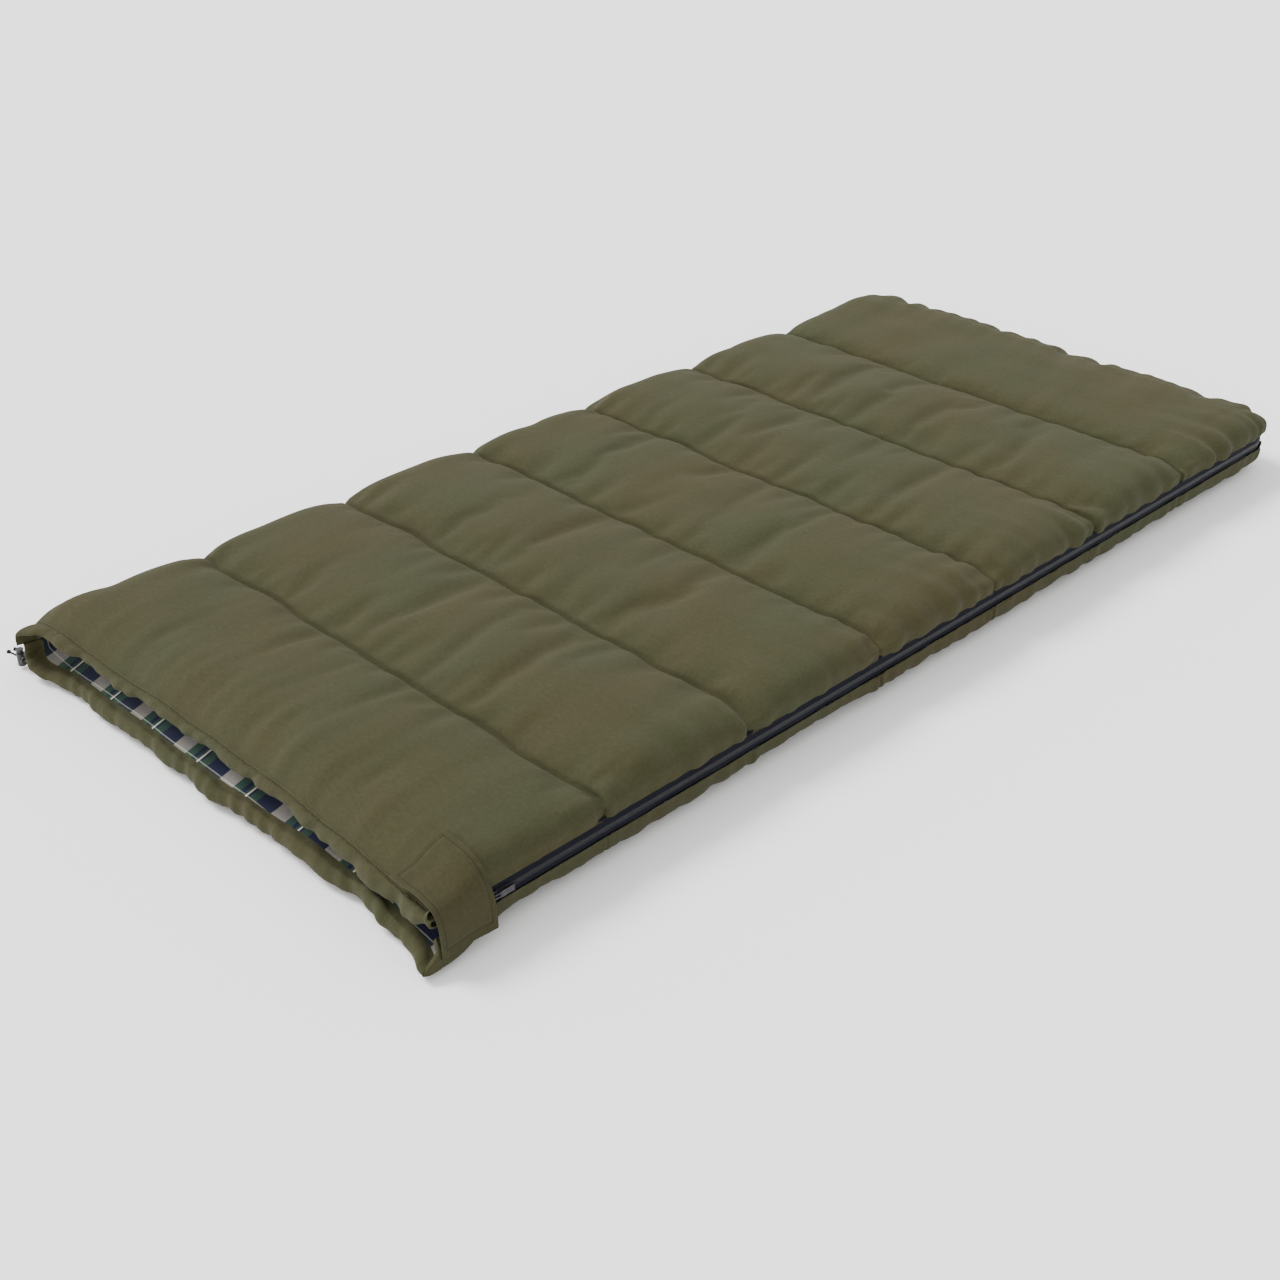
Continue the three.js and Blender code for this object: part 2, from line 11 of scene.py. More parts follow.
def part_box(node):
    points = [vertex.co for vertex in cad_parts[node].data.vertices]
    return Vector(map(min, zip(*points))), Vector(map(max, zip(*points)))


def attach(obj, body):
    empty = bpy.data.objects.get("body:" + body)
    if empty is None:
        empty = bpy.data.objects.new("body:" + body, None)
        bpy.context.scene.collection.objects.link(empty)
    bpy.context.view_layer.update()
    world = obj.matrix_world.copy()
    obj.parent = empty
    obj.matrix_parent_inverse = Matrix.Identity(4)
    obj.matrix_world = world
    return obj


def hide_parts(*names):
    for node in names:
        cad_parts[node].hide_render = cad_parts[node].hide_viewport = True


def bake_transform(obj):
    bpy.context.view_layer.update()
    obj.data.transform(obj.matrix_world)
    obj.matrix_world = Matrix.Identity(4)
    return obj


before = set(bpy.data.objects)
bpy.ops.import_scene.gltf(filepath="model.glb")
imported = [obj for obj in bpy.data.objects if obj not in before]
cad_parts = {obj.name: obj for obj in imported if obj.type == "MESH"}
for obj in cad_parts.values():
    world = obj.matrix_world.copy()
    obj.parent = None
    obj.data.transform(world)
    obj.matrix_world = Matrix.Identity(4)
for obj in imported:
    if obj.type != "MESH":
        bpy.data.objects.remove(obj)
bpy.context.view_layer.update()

# Places, worked out from the frame

shell_low, shell_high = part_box("upper_shell")
base_low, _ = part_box("lower_shell")
tape_low, tape_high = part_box("upper_zipper_tape")
lower_tape_low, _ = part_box("lower_zipper_tape")
coil_low, coil_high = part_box("upper_zipper_coil")
tab_low, tab_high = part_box("closure_tab")
draft_low, draft_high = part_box("draft_tube_cover")
hem_low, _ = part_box("lower_hem_band")

FOLD_X = shell_low.x
SIDE_X = shell_high.x
FOOT_Y = shell_high.y
UPPER_MOUTH = shell_low.y
LOWER_MOUTH = base_low.y
TOP_Z = shell_high.z
FOLD_Z = TOP_Z / 2
TAPE_IN = 0.00145  # from the chain's outer faces in to the tape's middle
CHAIN_X = (coil_high.x + tape_high.x) / 2 - TAPE_IN
CHAIN_Y = (coil_high.y + tape_high.y) / 2 - TAPE_IN
TAPE_TOP = tape_high.z
TAPE_LOW = lower_tape_low.z
ROLL = 0.08  # width of the rolled edges and plan radius of the foot corners
SEAM_PITCH = 0.279
HALF_CHANNEL = 0.1395
FIRST_SEAM = 0.29  # from the lower hem's front
SEAM_Y = [hem_low.y + FIRST_SEAM + i * SEAM_PITCH for i in range(6)]
ZIP_END_X = coil_low.x  # the zip stops here on the foot, short of the fold corner


# Mesh helpers

def link(obj):
    bpy.context.scene.collection.objects.link(obj)
    return obj


def grid_faces(rows, columns, wrap=False):
    """Quads of a grid of rows by columns; wrap joins the last column to the first."""
    r = np.arange(rows - 1)[:, None]
    c = np.arange(columns if wrap else columns - 1)[None, :]
    n = (c + 1) % columns
    quads = np.stack(np.broadcast_arrays(
        r * columns + c, r * columns + n, (r + 1) * columns + n, (r + 1) * columns + c), -1)
    return quads.reshape(-1, 4)


def mesh_object(name, points, faces, uv=None, smooth=True, flip=False):
    """A mesh piece; uv holds a coordinate in metres for each vertex."""
    faces = np.asarray(faces)
    if flip:
        faces = faces[:, ::-1]
    mesh = bpy.data.meshes.new(name)
    mesh.from_pydata(np.asarray(points).reshape(-1, 3).tolist(), [], faces.tolist())
    if uv is not None:
        layer = mesh.uv_layers.new(name="Cloth")
        loops = np.zeros(len(mesh.loops), int)
        mesh.loops.foreach_get("vertex_index", loops)
        layer.data.foreach_set("uv", np.asarray(uv).reshape(-1, 2)[loops].astype(np.float32).ravel())
    mesh.polygons.foreach_set("use_smooth", [smooth] * len(mesh.polygons))
    mesh.update()
    return link(bpy.data.objects.new(name, mesh))


def grid_object(name, grid, uv, flip=False, wrap=False):
    rows, columns = grid.shape[:2]
    return mesh_object(name, grid, grid_faces(rows, columns, wrap), uv, flip=flip)


def settle(obj):
    """Applies every modifier of the piece to its mesh."""
    graph = bpy.context.evaluated_depsgraph_get()
    mesh = bpy.data.meshes.new_from_object(obj.evaluated_get(graph))
    mesh.name = obj.name
    obj.modifiers.clear()
    obj.data = mesh
    return obj


def subdivide(obj, levels=1):
    modifier = obj.modifiers.new("smooth", "SUBSURF")
    modifier.levels = levels
    modifier.render_levels = levels
    modifier.boundary_smooth = "PRESERVE_CORNERS"
    return settle(obj)


def finish_piece(obj, material, node=None):
    """Gives a piece its material, and hides the CAD node that it replaces, if any."""
    obj.data.materials.append(material)
    if node:
        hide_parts(node)


def lengths(points):
    """How far along a line of points each of them is."""
    return np.concatenate([[0], np.cumsum(np.linalg.norm(np.diff(points, axis=0), axis=1))])


def arc_uv(grid):
    """Coordinates in metres along a grid: across its middle row and along its middle column."""
    u = lengths(grid[len(grid) // 2])
    v = lengths(grid[:, grid.shape[1] // 2])
    return np.stack(np.meshgrid(u, v), -1)


def grid_normals(grid):
    du = np.gradient(grid, axis=1)
    dv = np.gradient(grid, axis=0)
    n = np.cross(du, dv)
    return n / np.maximum(np.linalg.norm(n, axis=2, keepdims=True), 1e-12)


def step(a, b, x):
    t = np.clip((x - a) / (b - a), 0, 1)
    return t * t * (3 - 2 * t)


def ripples(x, seed, wavelength, drift=0.0, spread=0.4, count=7):
    """Smooth irregular waves along x, from -1 to 1 or so; drift shifts their phase."""
    r = np.random.default_rng(seed)
    total = np.zeros(np.broadcast(x, drift).shape)
    for _ in range(count):
        wave = 2 * math.pi / (wavelength * (1 + spread * (2 * r.random() - 1)))
        total = total + np.sin(wave * x + 6.283 * r.random() + (0.6 + r.random()) * drift)
    return total / math.sqrt(count)


def lumps(x, y, seed, size, count=14):
    """Smooth irregular bumps over a plane, from -1 to 1 or so."""
    r = np.random.default_rng(seed)
    total = np.zeros(np.broadcast(x, y).shape)
    for _ in range(count):
        angle = math.pi * r.random()
        wave = 2 * math.pi / (size * (0.7 + 0.8 * r.random()))
        total = total + np.sin(wave * (x * math.cos(angle) + y * math.sin(angle)) + 6.283 * r.random())
    return total / math.sqrt(count)


# Camera, light and floor

LENS = 48.6  # of a 36 mm sensor
AZIMUTH, ELEVATION, DISTANCE = math.radians(45.4), math.radians(31.0), 2.618
AIM = Vector((0.156, -0.35, 0.05))


def build_camera():
    data = bpy.data.cameras.new("camera")
    data.sensor_width = 36
    data.lens = LENS
    camera = link(bpy.data.objects.new("camera", data))
    back = Vector((
        math.sin(AZIMUTH) * math.cos(ELEVATION),
        -math.cos(AZIMUTH) * math.cos(ELEVATION),
        math.sin(ELEVATION),
    ))
    camera.location = AIM + DISTANCE * back
    camera.rotation_euler = back.to_track_quat("Z", "Y").to_euler()
    bpy.context.scene.camera = camera


def soft_sun(name, direction, spread, strength):
    data = bpy.data.lights.new(name, "SUN")
    data.angle = math.radians(spread)
    data.energy = strength
    light = link(bpy.data.objects.new(name, data))
    light.rotation_euler = Vector(direction).to_track_quat("Z", "Y").to_euler()


def build_studio():
    world = bpy.data.worlds.new("studio")
    bpy.context.scene.world = world
    world.use_nodes = True
    sky = world.node_tree.nodes["Background"]
    sky.inputs["Color"].default_value = (1, 1, 1, 1)
    sky.inputs["Strength"].default_value = 1.35
    soft_sun("key", (-2.6, -0.9, 3.0), 26, 4.2)
    soft_sun("fill", (1.0, -2.4, 1.2), 60, 0.9)
    size = 40
    corners = [(-size, -size, 0), (size, -size, 0), (size, size, 0), (-size, size, 0)]
    floor = mesh_object("floor", corners, [(0, 1, 2, 3)])
    floor.data.materials.append(paper_material())


# Materials

class Surface:
    """A material being made, with short ways to add nodes."""

    def __init__(self, name):
        self.material = bpy.data.materials.new(name)
        self.material.use_nodes = True
        self.tree = self.material.node_tree
        self.shader = self.tree.nodes["Principled BSDF"]

    def node(self, kind, inputs=None, **properties):
        made = self.tree.nodes.new("ShaderNode" + kind)
        for key, value in properties.items():
            setattr(made, key, value)
        for key, value in (inputs or {}).items():
            self.put(made.inputs[key], value)
        return made

    def put(self, socket, value):
        if isinstance(value, bpy.types.NodeSocket):
            self.tree.links.new(value, socket)
        else:
            socket.default_value = value

    def set(self, **inputs):
        for key, value in inputs.items():
            self.put(self.shader.inputs[key.replace("_", " ")], value)
        return self

    def uv(self):
        return self.node("UVMap", uv_map="Cloth").outputs["UV"]

    def place(self):
        return self.node("TexCoord").outputs["Object"]

    def scaled(self, vector, scale):
        return self.node("VectorMath", {0: vector, 1: scale}, operation="MULTIPLY").outputs[0]

    def math(self, operation, a, b=0.0, clamp=False):
        return self.node("Math", {0: a, 1: b}, operation=operation, use_clamp=clamp).outputs[0]

    def noise(self, vector, scale, detail=3.0, roughness=0.55):
        return self.node("TexNoise", {
            "Vector": vector, "Scale": scale, "Detail": detail, "Roughness": roughness,
        }).outputs["Fac"]

    def ramp(self, fac, stops):
        made = self.node("ValToRGB", {"Fac": fac})
        elements = made.color_ramp.elements
        while len(elements) < len(stops):
            elements.new(0.5)
        for element, (position, color) in zip(elements, stops):
            element.position = position
            element.color = (*color, 1) if len(color) == 3 else color
        return made.outputs["Color"]

    def mix(self, fac, a, b, blend="MIX"):
        made = self.node("Mix", data_type="RGBA", blend_type=blend)
        self.put(made.inputs[0], fac)
        self.put(made.inputs[6], a)
        self.put(made.inputs[7], b)
        return made.outputs[2]

    def shaded(self, color, fac, dark, light):
        """The colour times a grey, from dark to light, each a (place, grey) of a ramp over fac."""
        stops = [(place, (grey, grey, grey)) for place, grey in (dark, light)]
        return self.mix(1.0, color, self.ramp(fac, stops), "MULTIPLY")

    def bump(self, height, strength, distance, normal=None):
        made = self.node("Bump", {"Height": height, "Strength": strength, "Distance": distance})
        if normal is not None:
            self.put(made.inputs["Normal"], normal)
        return made.outputs["Normal"]

    def weave(self, vector, threads):
        """Height of a plain weave, with that many threads to a metre."""
        parts = self.node("SeparateXYZ", {0: vector})
        waves = []
        for axis in (0, 1):
            turns = self.math("MULTIPLY", parts.outputs[axis], threads * math.pi)
            waves.append(self.math("ABSOLUTE", self.math("SINE", turns)))
        return self.math("MULTIPLY", waves[0], waves[1])


def paper_material():
    s = Surface("pale floor")
    s.set(Base_Color=(0.95, 0.95, 0.95, 1), Roughness=0.9, Specular_IOR_Level=0.1)
    return s.material


# Linear colours over the ramp of the canvas's broad noise, from warm to green
CANVAS_DYES = [
    (0.36, (0.0385, 0.0341, 0.0138)),
    (0.52, (0.0354, 0.0349, 0.0144)),
    (0.66, (0.0331, 0.0361, 0.0153)),
]


def canvas_material(name, light=1.0):
    """Olive drab canvas: a brushed plain weave whose dye varies a little between warm and green."""
    s = Surface(name)
    uv = s.uv()
    broad = s.noise(s.scaled(uv, (1.0, 0.6, 1.0)), 5.5, 3.0)
    color = s.ramp(broad, [(place, tuple(light * c for c in dye)) for place, dye in CANVAS_DYES])
    color = s.shaded(color, s.noise(uv, 160.0, 4.0, 0.65), (0.3, 0.86), (0.7, 1.1))
    slub = s.noise(s.scaled(uv, (60.0, 900.0, 1.0)), 1.0, 2.0)
    color = s.shaded(color, slub, (0.35, 0.93), (0.65, 1.06))
    weave = s.weave(uv, 1100.0)
    creases = s.noise(s.scaled(uv, (1.0, 1.6, 1.0)), 48.0, 4.0, 0.6)
    normal = s.bump(creases, 0.28, 0.004)
    normal = s.bump(weave, 0.35, 0.0003, normal)
    s.set(Base_Color=color, Roughness=0.93, Normal=normal, Specular_IOR_Level=0.18,
          Sheen_Weight=0.05, Sheen_Roughness=0.6, Sheen_Tint=(0.62, 0.58, 0.42, 1))
    return s.material


# Stripes across one repeat of the plaid: start as a share of the repeat, and linear colour
PLAID_REPEAT = 0.115
NAVY = (0.008, 0.010, 0.028)
FOREST = (0.020, 0.050, 0.030)
TAUPE = (0.215, 0.198, 0.175)
CREAM = (0.500, 0.480, 0.385)
MOSS = (0.235, 0.280, 0.150)


def stripe_ramp(s, coordinate, stops):
    turns = s.math("MULTIPLY", coordinate, 1 / PLAID_REPEAT)
    made = s.ramp(s.math("FRACT", turns), stops)
    made.node.color_ramp.interpolation = "CONSTANT"
    return made


def plaid_material():
    """Yarn-dyed flannel: warp and weft stripes that show through a twill, the warp's more."""
    s = Surface("plaid flannel")
    uv = s.uv()
    wobble = s.node("TexNoise", {"Vector": uv, "Scale": 9.0, "Detail": 1.0}).outputs["Color"]
    shift = s.scaled(wobble, (0.006, 0.006, 0.0))
    bent = s.node("VectorMath", {0: shift, 1: uv}, operation="ADD").outputs[0]
    parts = s.node("SeparateXYZ", {0: bent})
    warp = stripe_ramp(s, parts.outputs[0], [
        (0.0, CREAM), (0.026, NAVY), (0.060, FOREST), (0.19, NAVY), (0.50, TAUPE), (0.76, FOREST),
        (0.89, NAVY), (0.955, FOREST),
    ])
    weft = stripe_ramp(s, parts.outputs[1], [
        (0.0, NAVY), (0.34, TAUPE), (0.48, NAVY), (0.60, MOSS), (0.82, FOREST), (0.95, CREAM),
        (0.965, NAVY),
    ])
    threads = 620.0
    diagonal = s.math("MULTIPLY", s.math("ADD", parts.outputs[0], parts.outputs[1]), threads)
    twill = s.math("GREATER_THAN", s.math("FRACT", diagonal), 0.68)
    fine = s.mix(twill, warp, weft)
    color = s.mix(0.5, fine, s.mix(0.22, warp, weft))
    fuzz = s.noise(uv, 420.0, 4.0, 0.7)
    color = s.shaded(color, fuzz, (0.25, 0.78), (0.75, 1.22))
    creases = s.noise(uv, 30.0, 3.0)
    normal = s.bump(creases, 0.3, 0.004)
    normal = s.bump(fuzz, 0.35, 0.0006, normal)
    s.set(Base_Color=color, Roughness=0.96, Normal=normal, Specular_IOR_Level=0.1,
          Sheen_Weight=0.14, Sheen_Roughness=0.5, Sheen_Tint=(0.8, 0.8, 0.8, 1))
    return s.material


def tape_material():
    """Woven zip tape: near-black navy with fine ribs along it."""
    s = Surface("zip tape")
    uv = s.uv()
    ribs = s.weave(uv, 1400.0)
    grain = s.noise(uv, 700.0, 3.0)
    color = s.ramp(grain, [(0.3, (0.0028, 0.0032, 0.0062)), (0.7, (0.0060, 0.0068, 0.0125))])
    s.set(Base_Color=color, Roughness=0.7, Normal=s.bump(ribs, 0.6, 0.0003), Specular_IOR_Level=0.10)
    return s.material


def plastic_material(name, color, roughness):
    s = Surface(name)
    place = s.place()
    grain = s.noise(place, 900.0, 3.0)
    wear = s.noise(place, 60.0, 3.0)
    tone = s.ramp(wear, [(0.35, color), (0.7, tuple(1.7 * c for c in color))])
    rough = s.math("ADD", s.math("MULTIPLY", grain, 0.18), roughness - 0.09)
    s.set(Base_Color=tone, Roughness=rough, Normal=s.bump(grain, 0.12, 0.0002))
    return s.material


def nickel_material():
    s = Surface("black nickel")
    place = s.place()
    brushed = s.noise(s.scaled(place, (400.0, 3000.0, 3000.0)), 1.0, 3.0)
    smudge = s.noise(place, 140.0, 3.0)
    tone = s.ramp(smudge, [(0.3, (0.040, 0.040, 0.043)), (0.7, (0.085, 0.085, 0.090))])
    rough = s.math("ADD", s.math("MULTIPLY", brushed, 0.25), 0.2)
    s.set(Base_Color=tone, Metallic=1.0, Roughness=rough, Normal=s.bump(brushed, 0.08, 0.0001))
    return s.material


def yarn_material(name, dark, light, scale):
    """Twisted or braided yarn: diagonal bands in a coordinate in metres."""
    s = Surface(name)
    place = s.place()
    strands = s.node("TexWave", {"Vector": place, "Scale": scale, "Distortion": 1.5, "Detail": 2.0},
                     bands_direction="DIAGONAL")
    tone = s.ramp(strands.outputs["Fac"], [(0.25, dark), (0.75, light)])
    s.set(Base_Color=tone, Roughness=0.85, Normal=s.bump(strands.outputs["Fac"], 0.6, 0.0004),
          Specular_IOR_Level=0.25)
    return s.material


def batting_material():
    s = Surface("polyester batting")
    place = s.place()
    fluff = s.noise(place, 120.0, 6.0, 0.7)
    tone = s.ramp(fluff, [(0.3, (0.62, 0.61, 0.57)), (0.7, (0.84, 0.83, 0.80))])
    s.set(Base_Color=tone, Roughness=1.0, Normal=s.bump(fluff, 0.8, 0.004), Sheen_Weight=0.3,
          Sheen_Roughness=0.6)
    return s.material


def hook_material(name, color, scale):
    s = Surface(name)
    cells = s.node("TexVoronoi", {"Vector": s.place(), "Scale": scale}).outputs["Distance"]
    tone = s.ramp(cells, [(0.1, tuple(1.8 * c for c in color)), (0.6, color)])
    s.set(Base_Color=tone, Roughness=0.9, Normal=s.bump(cells, 0.9, 0.0008))
    return s.material


# The quilts. Both are made by one surface: columns run from the fold to the zip, rows from the mouth
# to the foot. Below, "level" is the height of a quilt's widest line, and its top is the loft's face.

# Places of the rows from a seam towards the middle of its channel
CHANNEL_OFFSETS = [
    0, 0.002, 0.005, 0.010, 0.017, 0.026, 0.036, 0.048, 0.060, 0.073, 0.086, 0.099, 0.112, 0.126,
]
GROOVE = 0.0075  # sharp extra depth at a row of stitches
FOLD_COLUMNS, FLAT_COLUMNS, ZIP_COLUMNS, SKIRT_COLUMNS = 14, 66, 14, 5
FOOT_ROWS, SKIRT_ROWS = 13, 5


def channel_rows(start, end):
    """Rows of one channel, close together at its seams; the row on the last seam is left out."""
    half = (end - start) / 2
    offsets = np.array(CHANNEL_OFFSETS) * half / HALF_CHANNEL
    return np.concatenate([start + offsets, [start + half], (end - offsets[1:])[::-1]])


class Quilt:
    """Rows and columns shared by the surfaces of one quilt, with (a, b) the angles of its rolled edges."""

    def __init__(self, free, mouth, seed, dip, lip, level, overhang):
        self.free = free  # true for the upper quilt: it puffs up, where the lower one lies on the ground
        self.mouth = mouth
        self.seed = seed
        self.dip = dip  # how far a seam lies below the crown of its channels
        self.lip = lip  # how far the mouth's edge lies below the first crown
        self.level = level  # height of the widest line on the zip side, at the mouth and further on
        self.overhang = overhang  # reach past the zip at the mouth, near it and at the foot
        stations = [mouth, *SEAM_Y]
        rows = [channel_rows(a, b) for a, b in zip(stations, stations[1:])]
        rows.append(SEAM_Y[-1] + np.array(CHANNEL_OFFSETS[:8]))
        rows.append(np.linspace(SEAM_Y[-1] + 0.075, FOOT_Y - ROLL, 16)[:-1])
        flat_rows = np.concatenate(rows)
        roll_rows = np.linspace(0, math.pi / 2, FOOT_ROWS)
        skirt_rows = np.linspace(math.pi / 2, math.pi, SKIRT_ROWS + 1)[1:]
        self.b = np.concatenate([np.zeros(len(flat_rows)), roll_rows, skirt_rows])
        self.y0 = np.concatenate([flat_rows, np.full(FOOT_ROWS + SKIRT_ROWS, FOOT_Y - ROLL)])
        fold = np.linspace(-math.pi / 2, 0, FOLD_COLUMNS)[:-1]
        zip_side = np.linspace(0, math.pi / 2, ZIP_COLUMNS)
        skirt = np.linspace(math.pi / 2, math.pi, SKIRT_COLUMNS + 1)[1:]
        self.a = np.concatenate([fold, np.zeros(FLAT_COLUMNS), zip_side, skirt])
        left = FOLD_X + ROLL
        right = SIDE_X - ROLL
        flat = np.linspace(left, right, FLAT_COLUMNS + 1)[:-1]
        self.x0 = np.concatenate([
            np.full(len(fold), left), flat, np.full(len(zip_side) + len(skirt), right),
        ])
        self.seam_rows = [int(np.argmin(abs(flat_rows - y))) for y in SEAM_Y]

    def channel_share(self, y):
        """0 on a seam or at the mouth and 1 midway across a channel, for each y; the last is half open."""
        share = np.zeros_like(y)
        stations = [self.mouth, *SEAM_Y, FOOT_Y + 0.02]
        for a, b in zip(stations, stations[1:]):
            t = np.clip((y - a) / (b - a), 0, 1)
            share = np.where((y >= a) & (y <= b), 4 * t * (1 - t), share)
        return share

    def bow(self, x):
        """How far the mouth's edge swings along Y: it hangs forward at both corners."""
        if self.free:
            return -0.008 - 0.012 * (x / 0.42) ** 2
        middle = 0.010 * np.exp(-((x - 0.25) / 0.16) ** 2) - 0.004
        zip_corner = 0.014 * np.exp(-((x - 0.49) / 0.035) ** 2)
        fold_corner = 0.012 * np.exp(-((x + 0.46) / 0.04) ** 2)
        return middle - zip_corner - fold_corner

    def surface(self, sink=0.0, flat_top=None, detail=1.0):
        """The quilt's face as an upper one, sunk inward by some depth; the lower quilt mirrors it.

        flat_top gives a level face instead, and detail is the share of the uneven puffing.
        """
        a, b = np.meshgrid(self.a, self.b)
        x0, y0 = np.meshgrid(self.x0, self.y0)
        y_of_row = y0 + ROLL * np.sin(np.minimum(b, math.pi / 2))
        share = self.channel_share(y_of_row)
        after = y_of_row - self.mouth
        near_mouth = step(0.10, 0.0, after)
        at_mouth, near_head, at_foot = self.overhang
        over = near_head + (at_foot - near_head) * step(0.2, 0.9, after)
        over = over * (1 - (1 - np.sqrt(share)) * min(1, self.dip / 0.02))
        over = over + (at_mouth - over) * near_mouth - sink
        sewn_out = 0.0012  # from the chain's middle out to where the shell is sewn on
        side_out = CHAIN_X + sewn_out + over - (SIDE_X - ROLL)
        foot_out = CHAIN_Y + sewn_out + over - (FOOT_Y - ROLL)

        # plan
        fold_reach = ROLL - sink - detail * 0.004 * (1 - np.sqrt(share)) * step(0, 1, -a) * (1 - near_mouth)
        fold_reach = fold_reach + 0.010 * near_mouth
        across = np.where(a < 0, fold_reach * np.sin(a), np.where(
            a <= math.pi / 2, side_out * np.sin(a),
            side_out - over * (1 - np.sin(a))))
        along = np.where(b <= math.pi / 2, foot_out * np.sin(b), foot_out - over * (1 - np.sin(b)))
        along = np.where(b > 0, along, 0)
        u, v = across / ROLL, along / ROLL
        corner = (np.abs(u) > 0) & (v > 0)
        x = x0 + ROLL * np.where(corner, u * np.sqrt(np.clip(1 - v * v / 2, 0, 1)), u)
        y = y0 + ROLL * np.where(corner, v * np.sqrt(np.clip(1 - u * u / 2, 0, 1)), v)

        y = y + self.bow(x) * (1 - np.clip(after / 0.14, 0, 1)) ** 1.5

        # height
        near_zip = step(FOLD_X, FOLD_X + ROLL, x) * np.where(a < 0, np.cos(a), 1)
        side_level = self.level[1] + (self.level[0] - self.level[1]) * near_mouth
        level = FOLD_Z + (side_level - FOLD_Z) * near_zip
        droop = 0.012 if self.free else -0.012
        level = level - droop * near_mouth * step(FOLD_X + 0.06, FOLD_X, x)
        zip_part = step(ZIP_END_X - 0.015, ZIP_END_X + 0.01, x)
        edge = FOLD_Z + (TAPE_TOP + 0.0004 - FOLD_Z) * zip_part
        share = np.where(after < HALF_CHANNEL, 1, share)
        roll_down = self.lip * (1 - np.clip(after / 0.06, 0, 1)) ** 2.4
        top = CROWN - self.dip * (1 - share ** 0.62) - roll_down - sink
        top = top + detail * (
            0.0035 * lumps(x0, y0, self.seed, 0.55) * share
            + 0.0016 * lumps(x0 + y0, y0 - x0, self.seed + 1, 0.16) * share
        )
        lip = step(0.16, 0, after) * self.dip / 0.017
        top = top + detail * lip * 0.0030 * ripples(x0, self.seed + 2, 0.21)
        top = top - 0.008 * near_mouth * step(SIDE_X - 0.14, SIDE_X - 0.06, x0) * self.free
        if flat_top is not None:
            top = np.full_like(top, flat_top)
        rise = np.cos(np.minimum(np.abs(a), math.pi / 2)) ** np.where(a < 0, 0.9 - 0.45 * near_mouth, 0.9)
        rise = rise * np.cos(np.minimum(b, math.pi / 2)) ** 0.9
        z = level + (top - level) * rise
        skirt = np.maximum(-np.cos(np.maximum(a, math.pi / 2)), -np.cos(np.maximum(b, math.pi / 2)))
        skirt = np.where(a < 0, np.where(b > math.pi / 2, -np.cos(np.maximum(b, math.pi / 2)), 0), skirt)
        z = z - (level - edge) * skirt
        return np.stack([x, y, z], -1)

    def puckers(self, grid):
        """How far the face stands out or in at each vertex from gathers along its rows of stitches."""
        x, y = grid[..., 0], grid[..., 1]
        out = np.zeros_like(x)
        side = step(SIDE_X - 0.30, SIDE_X - 0.02, x) + 0.6 * step(FOLD_X + 0.25, FOLD_X + 0.02, x)
        for i, seam in enumerate(SEAM_Y):
            away = np.abs(y - seam)
            fine = ripples(x, self.seed + 10 + i, 0.026, 30 * (y - seam))
            wide = ripples(x, self.seed + 30 + i, 0.075, 8 * (y - seam))
            hold = away / (away + 0.004)
            out += hold * (0.0010 + 0.0015 * side) * fine * np.exp(-away / 0.022)
            out += hold * (0.0016 + 0.0022 * side) * wide * np.exp(-away / 0.060)
        away = np.maximum(y - self.mouth - self.bow(x), 0)
        hold = away / (away + 0.012)
        out += hold * 0.0030 * ripples(x, self.seed + 50, 0.058, 5 * away) * np.exp(-away / 0.075)
        out += hold * 0.0012 * ripples(x, self.seed + 51, 0.024, 12 * away) * np.exp(-away / 0.025)
        edge = np.minimum(SIDE_X - x, FOOT_Y - y)
        run = np.where(SIDE_X - x < FOOT_Y - y, y, -x)
        edge = np.maximum(edge, 0)
        clear = step(0.0, 0.06, y - self.mouth)
        broad = 0.0030 if self.free else 0.0010
        out += clear * 0.0017 * ripples(run, self.seed + 60, 0.024, 40 * edge) * np.exp(-edge / 0.035)
        out += clear * broad * ripples(run, self.seed + 61, 0.064, 20 * edge) * np.exp(-edge / 0.075)
        return out

    def grooves(self, grid):
        """Depth of the sharp grooves: along each seam, and the line that runs round near the foot."""
        x, y = grid[..., 0], grid[..., 1]
        depth = np.zeros_like(x)
        for seam in SEAM_Y:
            depth += GROOVE * min(1, self.dip / 0.015) * np.exp(-np.abs(y - seam) / 0.0030)
        inset = 0.058  # of the line that runs round, from the widest edge
        dx = np.maximum(x - (SIDE_X - ROLL), 0)
        dy = np.maximum(y - (FOOT_Y - ROLL), 0)
        along = np.abs(np.hypot(dx, dy) - (ROLL - inset))
        active = step(SEAM_Y[-1] + 0.02, SEAM_Y[-1] + 0.10, y) * step(FOLD_X + 0.02, FOLD_X + 0.10, x)
        straight = (dx > 0) | (dy > 0)
        depth += np.where(straight, 0.0030 * active * np.exp(-along / 0.005), 0)
        return depth


